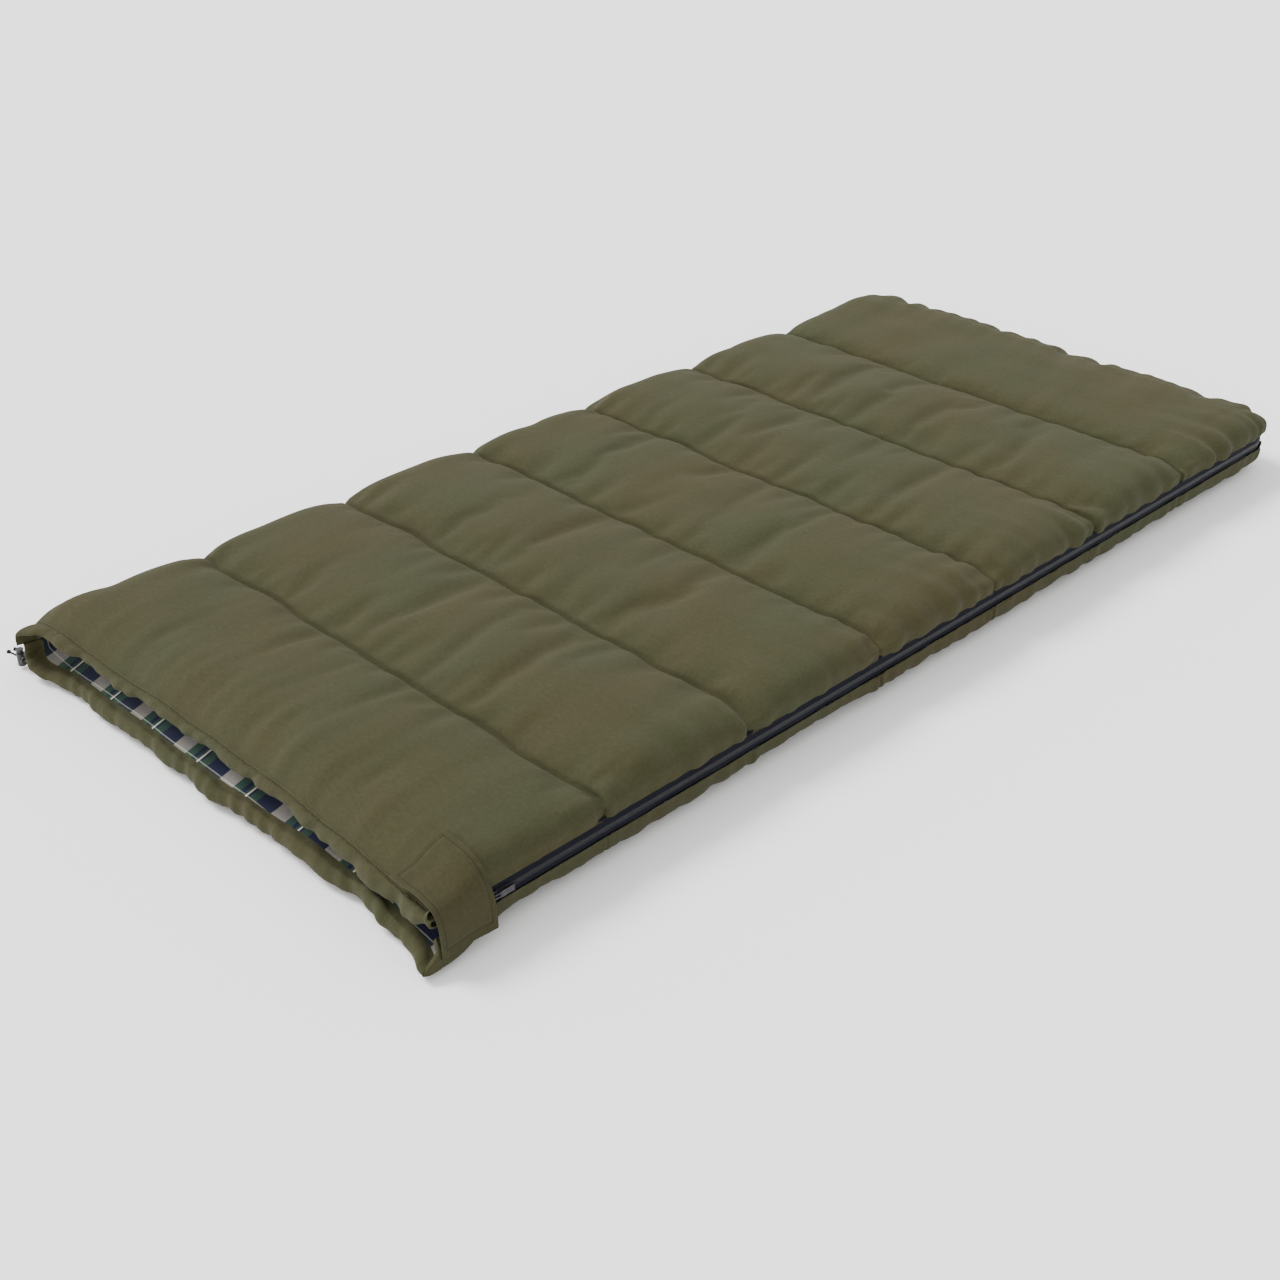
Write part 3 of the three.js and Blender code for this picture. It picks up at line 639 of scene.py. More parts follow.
def relax(grid, pinned, free, growth, pressure, cap, frames=18):
    """Cloth simulation of a grid that is sewn down at its pinned vertices and filled from below.

    free is the share of the movement that each vertex keeps, and cap is the farthest that any moves.
    """
    rows, columns = grid.shape[:2]
    obj = mesh_object("relaxing", grid, grid_faces(rows, columns))
    group = obj.vertex_groups.new(name="sewn")
    group.add(np.flatnonzero(pinned.ravel()).tolist(), 1.0, "REPLACE")
    cloth = obj.modifiers.new("cloth", "CLOTH")
    s = cloth.settings
    s.quality = 5
    s.mass = 0.25
    s.tension_stiffness = 12
    s.compression_stiffness = 8
    s.shear_stiffness = 4
    s.bending_stiffness = 0.35
    s.tension_damping = 8
    s.compression_damping = 8
    s.air_damping = 4
    s.vertex_group_mass = "sewn"
    s.pin_stiffness = 1
    s.use_pressure = True
    s.uniform_pressure_force = pressure
    s.shrink_min = -growth
    s.effector_weights.gravity = 0
    cloth.collision_settings.use_collision = False
    cloth.collision_settings.use_self_collision = False
    cloth.point_cache.frame_start = 1
    cloth.point_cache.frame_end = frames
    scene = bpy.context.scene
    for number in range(1, frames + 1):
        scene.frame_set(number)
    graph = bpy.context.evaluated_depsgraph_get()
    mesh = obj.evaluated_get(graph).to_mesh()
    co = np.zeros(len(mesh.vertices) * 3, np.float32)
    mesh.vertices.foreach_get("co", co)
    obj.evaluated_get(graph).to_mesh_clear()
    bpy.data.objects.remove(obj)
    scene.frame_set(1)
    moved = co.reshape(grid.shape).astype(float) - grid
    normals = grid_normals(grid)
    lift = (moved * normals).sum(2, keepdims=True) * normals
    moved = lift + 0.4 * (moved - lift)
    size = np.linalg.norm(moved, axis=2, keepdims=True)
    return grid + moved * free[..., None] * cap * np.tanh(size / cap) / np.maximum(size, 1e-9)


def mirror_z(grid):
    """The same grid on the other side of the fold plane."""
    flipped = grid.copy()
    flipped[..., 2] = 2 * FOLD_Z - grid[..., 2]
    return flipped


def shell_grid(quilt):
    plain = quilt.surface()
    normals = grid_normals(plain)
    grid = plain + normals * quilt.puckers(plain)[..., None]
    pinned = np.zeros(grid.shape[:2], bool)
    pinned[[0, -1], :] = True
    pinned[:, [0, -1]] = True
    for row in quilt.seam_rows:
        pinned[row] = True
    grid[pinned] = plain[pinned]
    to_sewn = np.min([np.abs(plain[..., 1] - y) for y in SEAM_Y], axis=0)
    free = step(0.0, 0.022, to_sewn) * step(0.02, 0.08, plain[..., 1] - quilt.mouth)
    cap = 0.0055 if quilt.free else 0.003
    grid = relax(grid, pinned, free, growth=0.035, pressure=1.2, cap=cap)
    wander = np.zeros_like(grid)
    for i, seam in enumerate(SEAM_Y):
        near = np.exp(-np.abs(grid[..., 1] - seam) / 0.03)
        wander[..., 1] += 0.0035 * near * ripples(grid[..., 0], quilt.seed + 70 + i, 0.24)
    normals = grid_normals(grid)
    return grid - normals * quilt.grooves(grid)[..., None] + wander


def press_flat(grid, floor=0.0012, soft=0.004):
    """Keeps a grid above the ground, easing into it."""
    pressed = grid.copy()
    z = grid[..., 2] - floor
    pressed[..., 2] = np.where(z > soft, floor + z, floor + soft * np.exp(np.minimum(z / soft - 1, 0)))
    return pressed


CROWN = TOP_Z - 0.003  # the simulation and the lumps add the rest
upper_quilt = Quilt(free=True, mouth=UPPER_MOUTH, seed=101, dip=0.017, lip=0.038,
                    level=(0.080, 0.090), overhang=(0.002, 0.002, 0.008))
lower_quilt = Quilt(free=False, mouth=LOWER_MOUTH, seed=202, dip=0.005, lip=0.006,
                    level=(0.112, 0.090), overhang=(0.012, 0.001, 0.003))
QUILTS = (("upper", upper_quilt), ("lower", lower_quilt))


def fold_blend(obj):
    """Bakes the piece's transform into its mesh."""
    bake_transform(obj)


def build_shells(canvas):
    """Returns the two shells and their grids, by name."""
    made = {}
    grids = {}
    for name, quilt in QUILTS:
        grid = shell_grid(quilt)
        if name == "lower":
            grid = press_flat(mirror_z(grid))
        grids[name] = grid
        obj = grid_object(f"{name}_shell_cloth", grid, arc_uv(grid), flip=name == "lower")
        subdivide(obj)
        finish_piece(obj, canvas, f"{name}_shell")
        fold_blend(obj)
        made[name] = obj
    return made, grids


# Each layer's two faces, as (depth under the shell's face, height of a flat face or None)
FILL_LAYERS = {
    "outer": ((0.014, None), (0.019, 0.092)),
    "inner": ((0.020, 0.0905), (0.023, 0.080)),
}
FILL_FIRST_ROW, FILL_FIRST_COLUMN = 8, 6  # of the quilt's surface, so that the fill ends inside it


def build_fill(batting):
    """Two layers of batting in each quilt, which follow its channels under the shell."""
    for name, quilt in QUILTS:
        for layer, sides in FILL_LAYERS.items():
            face, back = (
                quilt.surface(sink=sink, flat_top=flat_top, detail=0)[
                    FILL_FIRST_ROW:-SKIRT_ROWS:2, FILL_FIRST_COLUMN:-SKIRT_COLUMNS:2]
                for sink, flat_top in sides
            )
            back = back.copy()
            back[..., 2] = np.minimum(back[..., 2], face[..., 2] - 0.0015)
            if name == "lower":
                face, back = mirror_z(face), mirror_z(back)
            rows, columns = face.shape[:2]
            count = rows * columns
            rim = np.concatenate([
                np.arange(columns), np.arange(1, rows) * columns + columns - 1,
                (rows - 1) * columns + np.arange(columns - 2, -1, -1), np.arange(rows - 2, 0, -1) * columns,
            ])
            after = np.roll(rim, -1)
            walls = np.stack([after, rim, rim + count, after + count], -1)
            faces = np.concatenate([
                grid_faces(rows, columns), grid_faces(rows, columns)[:, ::-1] + count, walls,
            ])
            points = np.concatenate([face.reshape(-1, 3), back.reshape(-1, 3)])
            obj = mesh_object(f"{name}_{layer}_fill", points, faces, flip=name == "lower")
            finish_piece(obj, batting, f"{name}_{layer}_batting")
            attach(obj, f"{name}_quilt")


# Hem bands: a stitched cord channel along each lip, swept along the shell's edge at the mouth.
# Section points are (forward, outward) from the shell's edge, open where the band is sewn on.

UPPER_SECTION = [
    (0, 0.0), (0.0035, 0.0025), (0.0075, 0.0005), (0.0100, -0.0060), (0.0105, -0.0140),
    (0.0085, -0.0210), (0.0045, -0.0245), (-0.0005, -0.0245), (-0.005, -0.0250), (-0.010, -0.0260),
]
LOWER_SECTION = [
    (0, 0.0), (0.0100, 0.0020), (0.0190, 0.0020), (0.0245, -0.0030), (0.0245, -0.0110),
    (0.0210, -0.0180), (0.0160, -0.0215), (0.0110, -0.0205), (0.0070, -0.0200), (0.0040, -0.0200),
]
FOLD_SECTION = [
    (0, 0.0), (0.010, 0.0020), (0.021, 0.0010), (0.0280, -0.0030), (0.0300, -0.0070),
    (0.0270, -0.0100), (0.0180, -0.0110), (0.0100, -0.0115), (0.0040, -0.0130), (0.0010, -0.0150),
]


def fine_section(points, count=27):
    """A smooth line through a section's points, by Catmull-Rom."""
    p = np.array([points[0], *points, points[-1]], float)
    t = np.linspace(0, len(points) - 1, count)
    i = np.minimum(t.astype(int), len(points) - 2)
    f = (t - i)[:, None]
    a, b, c, d = p[i], p[i + 1], p[i + 2], p[i + 3]
    square = 2 * a - 5 * b + 4 * c - d
    cube = 3 * b - 3 * c + d - a
    return 0.5 * (2 * b + (c - a) * f + square * f ** 2 + cube * f ** 3)


def hem_grid(edge, section, corner, seed, sign):
    """Sweeps the section along an edge that runs from the fold to the zip, and measures along the edge.

    corner is the place of the edge's widest point, where the band flattens into a pointed end.
    """
    fold_part = fine_section(FOLD_SECTION)
    main_part = fine_section(section)
    tangent = np.gradient(edge[:, [0, 2]], axis=0)
    tangent /= np.linalg.norm(tangent, axis=1, keepdims=True)
    outward = np.stack([-tangent[:, 1], tangent[:, 0]], 1) * sign
    for _ in range(10):
        outward[1:-1] = (outward[:-2] + 2 * outward[1:-1] + outward[2:]) / 4
    outward /= np.linalg.norm(outward, axis=1, keepdims=True)
    run = lengths(edge)
    to_main = step(0.02, 0.17, run)
    height = 0.64 + 0.62 * step(0.62, 0.95, run) if sign > 0 else np.ones(len(run))
    height = height * (1 - 0.62 * step(run[corner] - 0.07, run[corner], run))
    reach = 1 - 0.75 * step(run[corner], run[corner] + 0.020, run)
    reach = reach + 0.10 * np.exp(-((run - run[corner]) / 0.012) ** 2)
    reach = reach + 0.10 * ripples(run, seed + 5, 0.19)
    grid = np.zeros((len(edge), len(main_part), 3))
    for i, point in enumerate(edge):
        part = (fold_part * (1 - to_main[i]) + main_part * to_main[i]) * [reach[i], height[i]]
        grid[i, :, 0] = point[0] + outward[i, 0] * part[:, 1]
        grid[i, :, 2] = point[2] + outward[i, 1] * part[:, 1]
        grid[i, :, 1] = point[1] - part[:, 0]
    around = np.linspace(0, 1, len(main_part))[None, :]
    s = run[:, None]
    hold = np.sin(math.pi * around)
    swell = 0.0022 * ripples(s, seed, 0.11, 2 * around) + 0.0013 * ripples(s, seed + 1, 0.034, 5 * around)
    gathers = 0.0010 * ripples(s, seed + 2, 0.017, 3 * around) * np.exp(-around / 0.16)
    out = hold * swell + np.minimum(around * 20, 1) * gathers
    return grid + grid_normals(grid) * (-sign) * out[..., None], run


def build_hems(canvas, grids):
    """Returns each band's grid; its last column is where the lining is sewn on."""
    hems = {}
    for name, section, seed, sign in (
        ("upper", UPPER_SECTION, 301, 1), ("lower", LOWER_SECTION, 302, -1),
    ):
        edge = grids[name][0]
        fine = np.linspace(0, len(edge) - 1, 2 * len(edge) - 1)
        path = np.stack([np.interp(fine, np.arange(len(edge)), edge[:, k]) for k in range(3)], 1)
        grid, run = hem_grid(path, section, 2 * (len(edge) - 1 - SKIRT_COLUMNS), seed, sign)
        grid[..., 2] = np.maximum(grid[..., 2], 0.0008)
        width = lengths(grid[len(grid) // 2])
        uv = np.stack(np.meshgrid(width, run), -1)
        obj = grid_object(f"{name}_hem_cloth", grid, uv, flip=name == "upper")
        subdivide(obj)
        finish_piece(obj, canvas, f"{name}_hem_band")
        fold_blend(obj)
        hems[name] = grid
    return hems


# Linings

LINING_FOLD = 0.006  # the linings meet this far inside the fold line, behind the tucked seams


def lining_grid(name, quilt, hem):
    """Flannel over the inner face, joined to the hem band at the mouth and to the tape at the sides."""
    inner = hem[::2, -1]
    columns = len(inner)
    rows = quilt.y0 + ROLL * np.sin(np.minimum(quilt.b, math.pi / 2)) - 0.012 * (quilt.b > 0)
    rows = rows[:-SKIRT_ROWS]
    fold_x = FOLD_X + LINING_FOLD
    zip_x = CHAIN_X - 0.0035
    turn = np.cos(math.pi * np.linspace(0, 1, columns))
    c = 0.5 - 0.5 * turn * (0.35 + 0.65 * np.abs(turn) ** 2)
    x = fold_x + (zip_x - fold_x) * np.broadcast_to(c, (len(rows), columns))
    y = np.broadcast_to(rows[:, None], x.shape).copy()
    share = quilt.channel_share(y)
    foot = CHAIN_Y - 0.0045
    face = 0.0735 - 0.0065 * share ** 0.6
    face = face + 0.0022 * lumps(x, y, quilt.seed + 400, 0.13) * share
    face = face + 0.0010 * lumps(x, y, quilt.seed + 401, 0.045) * np.sqrt(share)
    to_fold = step(0, 0.05, x - fold_x)
    to_zip = step(0, 0.02, zip_x - x)
    to_foot = step(0, 0.03, foot - y)
    z = FOLD_Z + (face - FOLD_Z) * to_fold
    z = TAPE_TOP - 0.002 + (z - TAPE_TOP + 0.002) * np.minimum(to_zip, to_foot)
    z = np.where(x < ZIP_END_X, np.where(y > foot - 0.03, FOLD_Z + (z - FOLD_Z) * to_fold, z), z)
    radius = 0.065  # of the foot corners
    corner_u = np.maximum(np.abs(x) - (zip_x - radius), 0) / radius
    corner_v = np.maximum(y - (foot - radius), 0) / radius
    x = x - np.sign(x) * radius * corner_u * (1 - np.sqrt(np.clip(1 - corner_v ** 2 / 2, 0, 1)))
    y = y - radius * corner_v * (1 - np.sqrt(np.clip(1 - corner_u ** 2 / 2, 0, 1)))
    grid = np.stack([x, y, z], -1)
    if name == "lower":
        grid = mirror_z(grid)
    blend = (1 - step(0.0, 0.07, rows - rows[0]))[:, None, None]
    start = inner - grid[0]
    return grid + start[None] * blend


def build_linings(plaid, hems):
    plaid_shift = {"upper": 0.047, "lower": 0.060}
    for name, quilt in QUILTS:
        grid = lining_grid(name, quilt, hems[name])
        uv = grid[..., :2] + plaid_shift[name]
        obj = grid_object(f"{name}_lining_cloth", grid, uv, flip=name == "upper")
        subdivide(obj)
        finish_piece(obj, plaid, f"{name}_lining")
        fold_blend(obj)


# Zip

def chain_line(start_y, end_x, spacing, inset=0.0):
    """Points and outward directions along the chain: up the side, round the corner, across the foot."""
    radius = ROLL - (SIDE_X - CHAIN_X) - inset
    centre = np.array([SIDE_X - ROLL, FOOT_Y - ROLL])
    side = centre[1] - start_y
    arc = radius * math.pi / 2
    foot = centre[0] - end_x
    total = side + arc + foot
    s = np.linspace(0, total, int(round(total / spacing)) + 1)
    angle = np.clip((s - side) / radius, 0, math.pi / 2)
    x = centre[0] + radius * np.cos(angle) - np.maximum(s - side - arc, 0)
    y = centre[1] + radius * np.sin(angle) - np.maximum(side - s, 0)
    out = np.stack([np.cos(angle), np.sin(angle), np.zeros_like(angle)], 1)
    return s, np.stack([x, y, np.zeros_like(x)], 1), out


def build_tapes(tape):
    for name, body, z0, z1 in (
        ("upper", "upper_quilt", FOLD_Z + 0.0012, TAPE_TOP + 0.003),
        ("lower", "lower_quilt", FOLD_Z - 0.0012, TAPE_LOW - 0.003),
    ):
        s, line, out = chain_line(tape_low.y, ZIP_END_X - 0.008, 0.006)
        across = np.linspace(0, 1, 9)
        grid = np.zeros((len(line), len(across), 3))
        for j, t in enumerate(across):
            sway = 0.0006 * ripples(s, 500 + (name == "lower"), 0.13) * t
            tuck = -0.0022 * t ** 3
            grid[:, j] = line + out * (sway + tuck)[:, None]
            grid[:, j, 2] = z0 + (z1 - z0) * t + 0.0005 * ripples(s, 510, 0.09) * t
        height = abs(z1 - z0)
        uv = np.stack(np.meshgrid(across * height, s), -1)
        obj = grid_object(f"{name}_tape_cloth", grid, uv, flip=name == "lower")
        solid = obj.modifiers.new("cloth thickness", "SOLIDIFY")
        solid.thickness = 0.0007
        solid.offset = 0
        settle(obj)
        finish_piece(obj, tape, f"{name}_zipper_tape")
        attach(obj, body)


def ellipsoid(sides, rings):
    """Unit vertices and quads of a closed rounded lozenge with poles on its third axis."""
    points = [(0, 0, -1)]
    for k in range(1, rings):
        t = math.pi * k / rings
        for j in range(sides):
            w = 2 * math.pi * j / sides
            points.append((math.sin(t) * math.cos(w), math.sin(t) * math.sin(w), -math.cos(t)))
    points.append((0, 0, 1))
    faces = []
    last = len(points) - 1
    for j in range(sides):
        n = (j + 1) % sides
        faces.append((0, 1 + n, 1 + j))
        faces.append((last, last - sides + j, last - sides + n))
        for k in range(rings - 2):
            a = 1 + k * sides
            faces.append((a + j, a + n, a + sides + n, a + sides + j))
    return np.array(points), faces


def scatter(name, points, faces, centres, frames, sizes):
    """One mesh with a copy of a small closed form at each centre; frames holds three axes each."""
    count = len(points)
    scaled = points[None] * sizes[:, None, :]
    placed = np.einsum("nki,nij->nkj", scaled, frames) + centres[:, None, :]
    every = []
    for k in range(len(centres)):
        every.extend(tuple(i + k * count for i in face) for face in faces)
    mesh = bpy.data.meshes.new(name)
    mesh.from_pydata(placed.reshape(-1, 3).tolist(), [], every)
    mesh.polygons.foreach_set("use_smooth", [True] * len(mesh.polygons))
    mesh.update()
    return link(bpy.data.objects.new(name, mesh))


def build_coils(plastic):
    """Each coil is a row of loops that reach past the chain's centre, between those of the other."""
    pitch = 0.0030
    points, faces = ellipsoid(6, 5)
    for name, body, sign, phase in (("upper", "upper_quilt", 1, 0), ("lower", "lower_quilt", -1, 0.5)):
        s, line, out = chain_line(coil_low.y, ZIP_END_X, pitch / 2)
        pick = np.arange(int(2 * phase), len(s), 2)
        centres = line[pick].copy()
        centres[:, 2] = FOLD_Z + sign * 0.0018
        up = np.array([0, 0, 1.0])
        frames = np.zeros((len(pick), 3, 3))
        for k, index in enumerate(pick):
            outward = out[index]
            along = np.cross(up, outward)
            tilt = up + 0.16 * sign * along
            frames[k] = [along, outward, tilt]
        sizes = np.tile([0.00085, 0.0024, 0.0030], (len(pick), 1))
        obj = scatter(f"{name}_coil_loops", points, faces, centres, frames, sizes)
        finish_piece(obj, plastic, f"{name}_zipper_coil")
        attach(obj, body)


# The mouth's fold corner hangs forward of the CAD's straight edge, and takes its cord exit along
EXIT_SHIFT = Vector((-0.013, -0.021, 0.004))


def refine(node, body, material, bevel, new_name):
    """A rounded copy of a small CAD piece, which it replaces."""
    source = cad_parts[node]
    mesh = source.data.copy()
    mesh.name = new_name
    mesh.materials.clear()
    obj = link(bpy.data.objects.new(new_name, mesh))
    weld = obj.modifiers.new("weld", "WELD")
    weld.merge_threshold = 1e-5
    dissolve = obj.modifiers.new("flat faces", "DECIMATE")
    dissolve.decimate_type = "DISSOLVE"
    dissolve.angle_limit = math.radians(1.5)
    round_off = obj.modifiers.new("rounded edges", "BEVEL")
    round_off.width = bevel
    round_off.segments = 3
    round_off.limit_method = "ANGLE"
    round_off.angle_limit = math.radians(35)
    settle(obj)
    obj.data.polygons.foreach_set("use_smooth", [True] * len(obj.data.polygons))
    sharp = obj.modifiers.new("weighted", "WEIGHTED_NORMAL")
    sharp.keep_sharp = True
    settle(obj)
    if node.startswith("cord_lock") or node == "drawcord_eyelet":
        obj.data.transform(Matrix.Translation(EXIT_SHIFT))
    finish_piece(obj, material, node)
    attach(obj, body)


def build_small_parts(nickel, plastic, hook, loop):
    for node, body, material, bevel, slot_name, new_name in (
        ("head_slider_body", "head_slider", nickel, 0.0005, "zip_metal", "head_slider_casting"),
        ("head_slider_pull", "head_pull", nickel, 0.0005, "zip_metal", "head_pull_tag"),
        ("foot_slider_body", "foot_slider", nickel, 0.0005, "zip_metal", "foot_slider_casting"),
        ("foot_slider_pull", "foot_pull", nickel, 0.0005, "zip_metal", "foot_pull_tag"),
        ("upper_top_stop", "upper_quilt", nickel, 0.0005, "zip_metal", "upper_stop_clip"),
        ("lower_top_stop", "lower_quilt", nickel, 0.0005, "zip_metal", "lower_stop_clip"),
        ("zipper_insertion_pin", "upper_quilt", plastic, 0.0004, "black_plastic", "insertion_pin_moulding"),
        ("zipper_retainer_box", "lower_quilt", plastic, 0.0006, "black_plastic", "retainer_box_moulding"),
        ("drawcord_eyelet", "lower_quilt", plastic, 0.0004, "zip_metal", "eyelet_ring"),
        ("cord_lock_barrel", "cord_lock", plastic, 0.0007, "black_plastic", "lock_barrel_moulding"),
        ("cord_lock_plunger", "cord_lock_plunger", plastic, 0.0007, "black_plastic", "lock_plunger_moulding"),
        ("tab_hook_patch", "closure_tab", hook, 0.0002, "hook_and_loop", "hook_patch_pile"),
        ("tab_loop_patch", "lower_quilt", loop, 0.0002, "hook_and_loop", "loop_patch_pile"),
    ):
        refine(node, body, material, bevel, new_name)


# Draft tube

def build_draft_tube(plaid, batting):
    centre = (draft_low + draft_high) / 2
    half = (draft_high - draft_low) / 2
    rows = np.linspace(draft_low.y, draft_high.y, 260)
    turn = np.linspace(0.12, 2 * math.pi - 0.12, 25)
    for name, node, slot_name, material, scale, seed in (
        ("draft_tube_cloth", "draft_tube_cover", "plaid_flannel", plaid, 1.0, 600),
        ("draft_tube_filling", "draft_tube_fill", "fill", batting, 0.82, 610),
    ):
        y = rows[:, None]
        w = turn[None, :]
        ends = np.sqrt(np.clip(np.minimum(y - rows[0], rows[-1] - y) / 0.018, 0, 1)) * 0.75 + 0.25
        swell = 1 + 0.10 * ripples(y, seed, 0.09, 2 * np.cos(w)) + 0.05 * ripples(y, seed + 1, 0.03, 3 * w)
        x = centre.x + half.x * scale * ends * np.cos(w) * np.clip(swell, 0.8, 1.06)
        z = centre.z + half.z * scale * ends * np.sin(w) * np.clip(swell, 0.8, 1.06)
        grid = np.stack([x, np.broadcast_to(y, x.shape), z], -1)
        uv = np.stack([np.broadcast_to(w * 0.011, x.shape), np.broadcast_to(y, x.shape)], -1)
        obj = grid_object(name, grid, uv, flip=True)
        finish_piece(obj, material, node)
        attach(obj, "upper_quilt")


# Closure tab

def build_tab(canvas, shell, thread):
    """A double cloth that lies on the upper quilt, turns down over the edge and covers the zip's end."""
    lie = 0.0024
    tree = BVHTree.FromObject(shell, bpy.context.evaluated_depsgraph_get())
    ys = np.linspace(tab_low.y, tab_high.y, 24)
    xs = np.linspace(tab_low.x, SIDE_X - 0.010, 22)
    top = np.zeros((len(ys), len(xs)))
    for i, y in enumerate(ys):
        probe = max(y, UPPER_MOUTH + 0.004)
        for j, x in enumerate(xs):
            hit = tree.ray_cast(Vector((x, probe, 0.3)), Vector((0, 0, -1)))[0]
            top[i, j] = hit.z + lie - 0.10 * (probe - y)
    smooth = top.copy()
    for _ in range(3):
        smooth[:, 1:-1] = (smooth[:, :-2] + 2 * smooth[:, 1:-1] + smooth[:, 2:]) / 4
        smooth[1:-1] = (smooth[:-2] + 2 * smooth[1:-1] + smooth[2:]) / 4
    smooth = np.maximum(smooth, top - 0.0004)
    outer_x = tab_high.x - 0.0009
    down = 17
    grid = np.zeros((len(ys), len(xs) + down, 3))
    for i, y in enumerate(ys):
        last = np.array([xs[-1], smooth[i, -1]])
        end = np.array([outer_x - 0.0006 + 0.0010 * math.sin(9 * (y - ys[0]) / 0.086), tab_low.z])
        knee = np.array([outer_x + 0.0006, smooth[i, -1] - 0.014])
        t = np.linspace(0, 1, down + 1)[1:, None]
        side = (1 - t) ** 2 * last + 2 * t * (1 - t) * knee + t ** 2 * end
        flat = np.stack([xs, smooth[i]], 1)
        section = np.concatenate([flat, side])
        grid[i, :, 0] = section[:, 0]
        grid[i, :, 2] = section[:, 1]
        grid[i, :, 1] = y
    inward = grid_normals(grid)
    edge_lift = np.abs(np.linspace(-1, 1, len(ys)))[:, None] ** 6
    grid = grid + inward * (0.0012 * edge_lift)[..., None]
    sewn = np.zeros(grid.shape[:2])
    sewn[[2, -3], 2:-2] = 1
    sewn[2:-2, [2, -3]] = 1
    pulled_in = 0.0016
    grid = grid - inward * (pulled_in * sewn)[..., None]
    uv = arc_uv(grid)
    obj = grid_object("tab_double_cloth", grid, uv)
    solid = obj.modifiers.new("double cloth", "SOLIDIFY")
    solid.thickness = 0.0024
    solid.offset = 0
    bevel = obj.modifiers.new("folded edges", "BEVEL")
    bevel.width = 0.0006
    bevel.segments = 2
    bevel.limit_method = "ANGLE"
    bevel.angle_limit = math.radians(60)
    subdivide(obj)
    finish_piece(obj, canvas, "closure_tab")
    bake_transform(obj)

    normal = grid_normals(grid)
    rows, columns = grid.shape[:2]
    r0, r1, c0, c1 = 2, rows - 3, 2, columns - 3
    order = (
        [(r0, c) for c in range(c0, c1)] + [(r, c1) for r in range(r0, r1)]
        + [(r1, c) for c in range(c1, c0, -1)] + [(r, c0) for r in range(r1, r0, -1)] + [(r0, c0)]
    )
    points = np.array([grid[r, c] + normal[r, c] * 0.0016 for r, c in order])
    normals = np.array([normal[r, c] for r, c in order])
    # The thread material given here is near black: painted shade of the stitched groove round the tab, drawn
    # as a dark outline.
    threads = stitches("tab_topstitch", [(points, normals)], thread, 0.0034, 0.0006, 0.0007)
    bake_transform(threads)


# Threads

def stitches(name, paths, material, length, gap, radius):
    """A lozenge of thread for each stitch along the paths, which are (points, normals)."""
    form, faces = ellipsoid(5, 4)
    centres, frames = [], []
    for points, normals in paths:
        run = lengths(points)
        at = np.arange(length / 2, run[-1], length + gap)
        here = np.stack([np.interp(at, run, points[:, k]) for k in range(3)], 1)
        ahead = np.stack([np.interp(at + 0.0005, run, points[:, k]) for k in range(3)], 1)
        behind = np.stack([np.interp(at - 0.0005, run, points[:, k]) for k in range(3)], 1)
        up = np.stack([np.interp(at, run, normals[:, k]) for k in range(3)], 1)
        along = ahead - behind
        along /= np.maximum(np.linalg.norm(along, axis=1, keepdims=True), 1e-12)
        side = np.cross(up, along)
        side /= np.maximum(np.linalg.norm(side, axis=1, keepdims=True), 1e-12)
        up = np.cross(along, side)
        centres.append(here)
        frames.append(np.stack([side, up, along], 1))
    centres = np.concatenate(centres)
    frames = np.concatenate(frames)
    sizes = np.tile([radius, radius * 0.8, length / 2], (len(centres), 1))
    obj = scatter(name, form, faces, centres, frames, sizes)
    finish_piece(obj, material)
    return obj


def build_seam_threads(thread, grids, hems):
    lip_row, hem_column = 1, 2  # where the threads of the lip and of the hem band run
    for name, quilt in QUILTS:
        sign = 1 if quilt.free else -1
        grid = grids[name]
        normals = grid_normals(grid) * sign
        paths = []
        for row in quilt.seam_rows:
            paths.append((grid[row] + 0.0006 * normals[row], normals[row]))
        paths.append((grid[lip_row] + 0.0004 * normals[lip_row], normals[lip_row]))
        obj = stitches(f"{name}_quilting_thread", paths, thread, 0.0034, 0.0012, 0.00045)
        fold_blend(obj)
        hem = hems[name]
        outward = (grid_normals(hem) * -sign)[:, hem_column]
        paths = [(hem[:, hem_column] + 0.0003 * outward, outward)]
        obj = stitches(f"{name}_hem_thread", paths, thread, 0.0032, 0.0012, 0.00042)
        fold_blend(obj)


# Drawcords, their tails and the cord lock's spring

def smooth_tube(name, points, radius, material):
    curve = bpy.data.curves.new(name, "CURVE")
    curve.dimensions = "3D"
    curve.bevel_depth = radius
    curve.bevel_resolution = 3
    curve.use_fill_caps = True
    curve.resolution_u = 6
    spline = curve.splines.new("NURBS")
    spline.points.add(len(points) - 1)
    for target, point in zip(spline.points, points):
        target.co = (*point, 1)
    spline.use_endpoint_u = True
    spline.order_u = 4
    curve.materials.append(material)
    return link(bpy.data.objects.new(name, curve))


TAIL_RADIUS = 0.0015


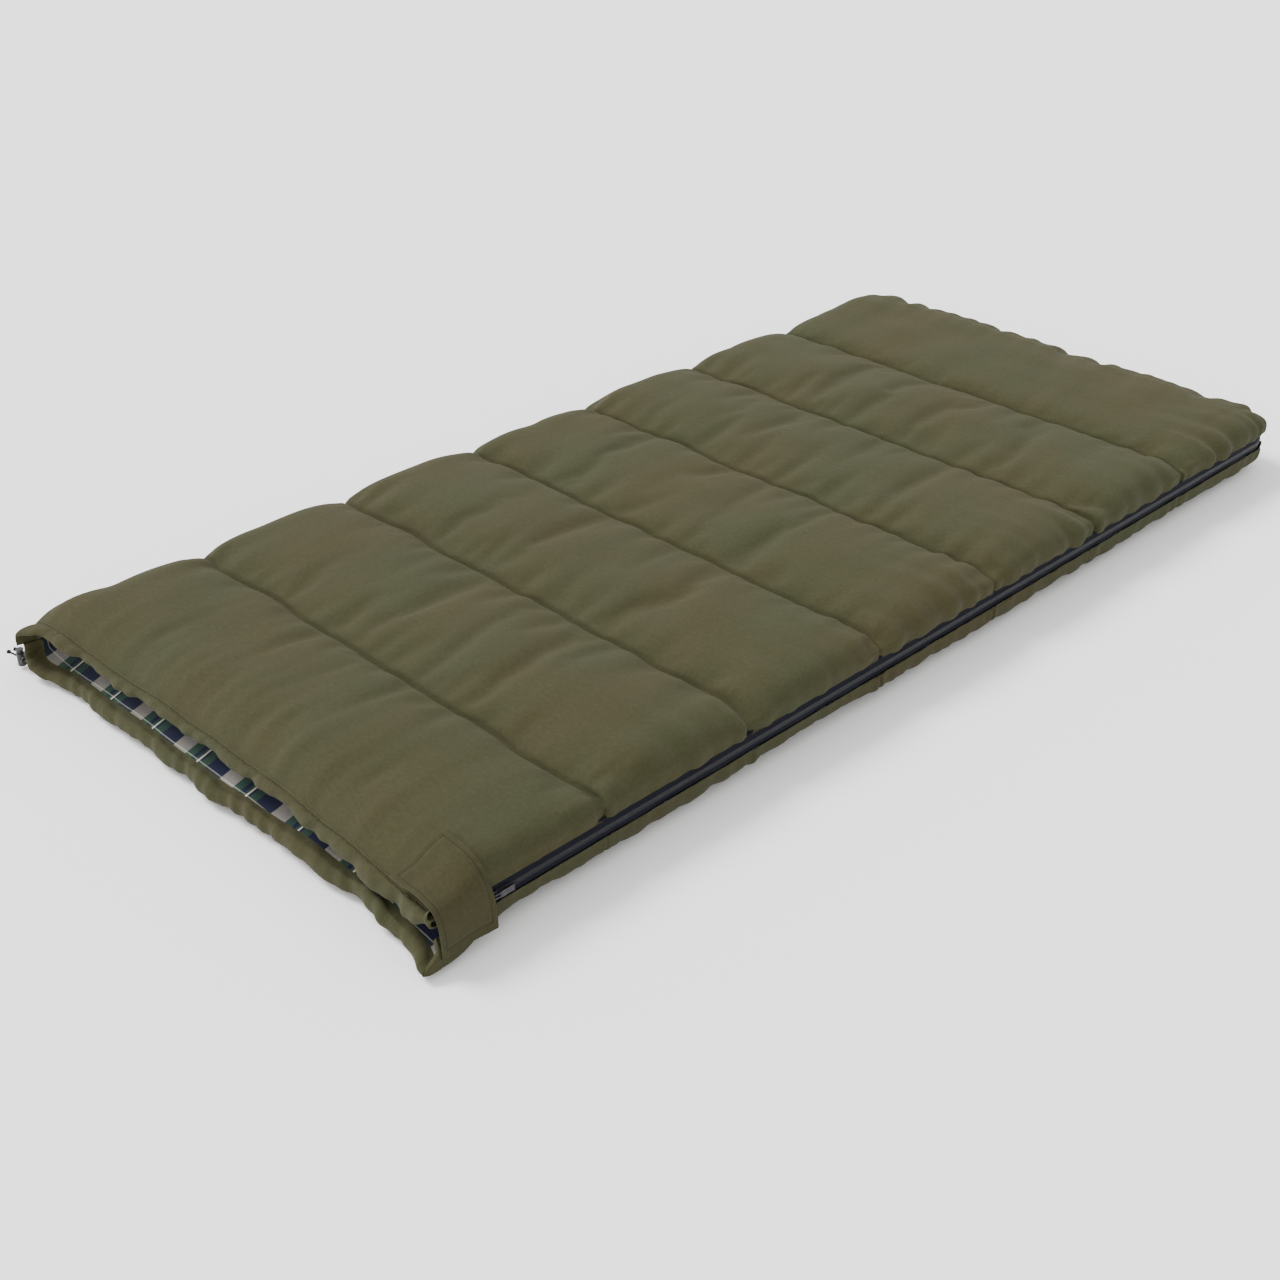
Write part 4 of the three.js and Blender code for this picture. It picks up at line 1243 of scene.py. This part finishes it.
def build_tails(cord):
    """Two cord tails leave the eyelet at the fold corner, pass the lock and end in knots."""
    tail_low, tail_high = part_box("drawcord_tail_front")
    _, rear_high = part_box("drawcord_tail_rear")
    middle_y = (tail_low.y + rear_high.y) / 2
    z = (tail_low.z + tail_high.z) / 2
    exit_x = tail_high.x
    end_x = tail_low.x
    for name, side in (("front", -1), ("rear", 1)):
        points = []
        for t in np.linspace(0, 1, 15):
            spread = 0.0019 + 0.0029 * max(0.0, (t - 0.5) / 0.5) ** 1.5
            place = Vector((exit_x + (end_x - exit_x) * t, middle_y + side * spread, z))
            points.append(place + EXIT_SHIFT)
        tail = smooth_tube(f"{name}_tail_cord", points, TAIL_RADIUS, cord)
        knot = build_knot(f"{name}_tail_knot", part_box(f"tail_knot_{name}"), cord)
        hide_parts(f"drawcord_tail_{name}")
        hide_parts(f"tail_knot_{name}")
        for piece in (tail, knot):
            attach(piece, "lower_quilt")


def build_knot(name, box, material):
    """An overhand knot: a trefoil of cord drawn tight."""
    low, high = box
    centre = (low + high) / 2 + EXIT_SHIFT
    size = (high - low) / 2
    turns = np.linspace(0, 2 * math.pi, 40)
    points = []
    for t in turns:
        points.append((
            centre.x + size.x * 0.22 * (math.sin(t) + 2 * math.sin(2 * t)),
            centre.y + size.y * 0.22 * (math.cos(t) - 2 * math.cos(2 * t)),
            centre.z - size.z * 0.45 * math.sin(3 * t),
        ))
    return smooth_tube(name, points, TAIL_RADIUS * 0.95, material)


def build_drawcords(cord, hems):
    """Each cord runs through the middle of its hem band, from near the fold to near the zip."""
    for name in ("upper", "lower"):
        middle = hems[name].mean(axis=1)
        keep = (middle[:, 0] > FOLD_X + 0.06) & (middle[:, 0] < SIDE_X - 0.06)
        points = middle[keep][::5]
        obj = smooth_tube(f"{name}_channel_cord", points, TAIL_RADIUS, cord)
        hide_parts(f"{name}_drawcord")
        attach(obj, f"{name}_quilt")


def build_lock_spring(nickel):
    low, high = (corner + EXIT_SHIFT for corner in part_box("cord_lock_spring"))
    middle = (low + high) / 2
    wire = 0.00045
    radius = (high.x - low.x) / 2 - wire
    turns = 3
    points = []
    for k in range(turns * 16 + 1):
        angle = 2 * math.pi * k / 16
        z = low.z + wire + (high.z - low.z - 2 * wire) * k / (turns * 16)
        points.append((middle.x + radius * math.cos(angle), middle.y + radius * math.sin(angle), z))
    coiled = smooth_tube("coiled wire", points, wire, nickel)
    graph = bpy.context.evaluated_depsgraph_get()
    mesh = bpy.data.meshes.new_from_object(coiled.evaluated_get(graph))
    obj = link(bpy.data.objects.new("lock_spring_wire", mesh))
    bpy.data.objects.remove(coiled)
    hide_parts("cord_lock_spring")
    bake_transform(obj)


def main():
    build_camera()
    build_studio()
    canvas = canvas_material("olive canvas")
    tab_canvas = canvas_material("olive canvas of the tab", 0.92)
    plaid = plaid_material()
    tape = tape_material()
    coil = plastic_material("zip coil", (0.006, 0.0065, 0.010), 0.42)
    black = plastic_material("black plastic", (0.008, 0.008, 0.009), 0.38)
    nickel = nickel_material()
    cord = yarn_material("black cord", (0.004, 0.004, 0.005), (0.016, 0.016, 0.018), 900.0)
    thread = yarn_material("olive thread", (0.075, 0.070, 0.042), (0.150, 0.138, 0.085), 2500.0)
    # The tab's topstitching thread is near black: painted shade that stands in for the shade of the stitched
    # groove round the tab, drawn as a dark outline.
    groove_shade_tab_thread = yarn_material("olive thread darkened as painted groove shade", (0.010, 0.009, 0.005), (0.022, 0.020, 0.011), 2500.0)
    batting = batting_material()
    hook = hook_material("hook strip", (0.012, 0.012, 0.012), 900.0)
    loop = hook_material("loop strip", (0.034, 0.031, 0.019), 700.0)

    build_small_parts(nickel, black, hook, loop)
    build_lock_spring(nickel)
    build_tails(cord)
    shells, grids = build_shells(canvas)
    build_fill(batting)
    hems = build_hems(canvas, grids)
    build_drawcords(cord, hems)
    build_linings(plaid, hems)
    build_tapes(tape)
    build_coils(coil)
    build_draft_tube(plaid, batting)
    build_tab(tab_canvas, shells["upper"], groove_shade_tab_thread)
    build_seam_threads(thread, grids, hems)


main()
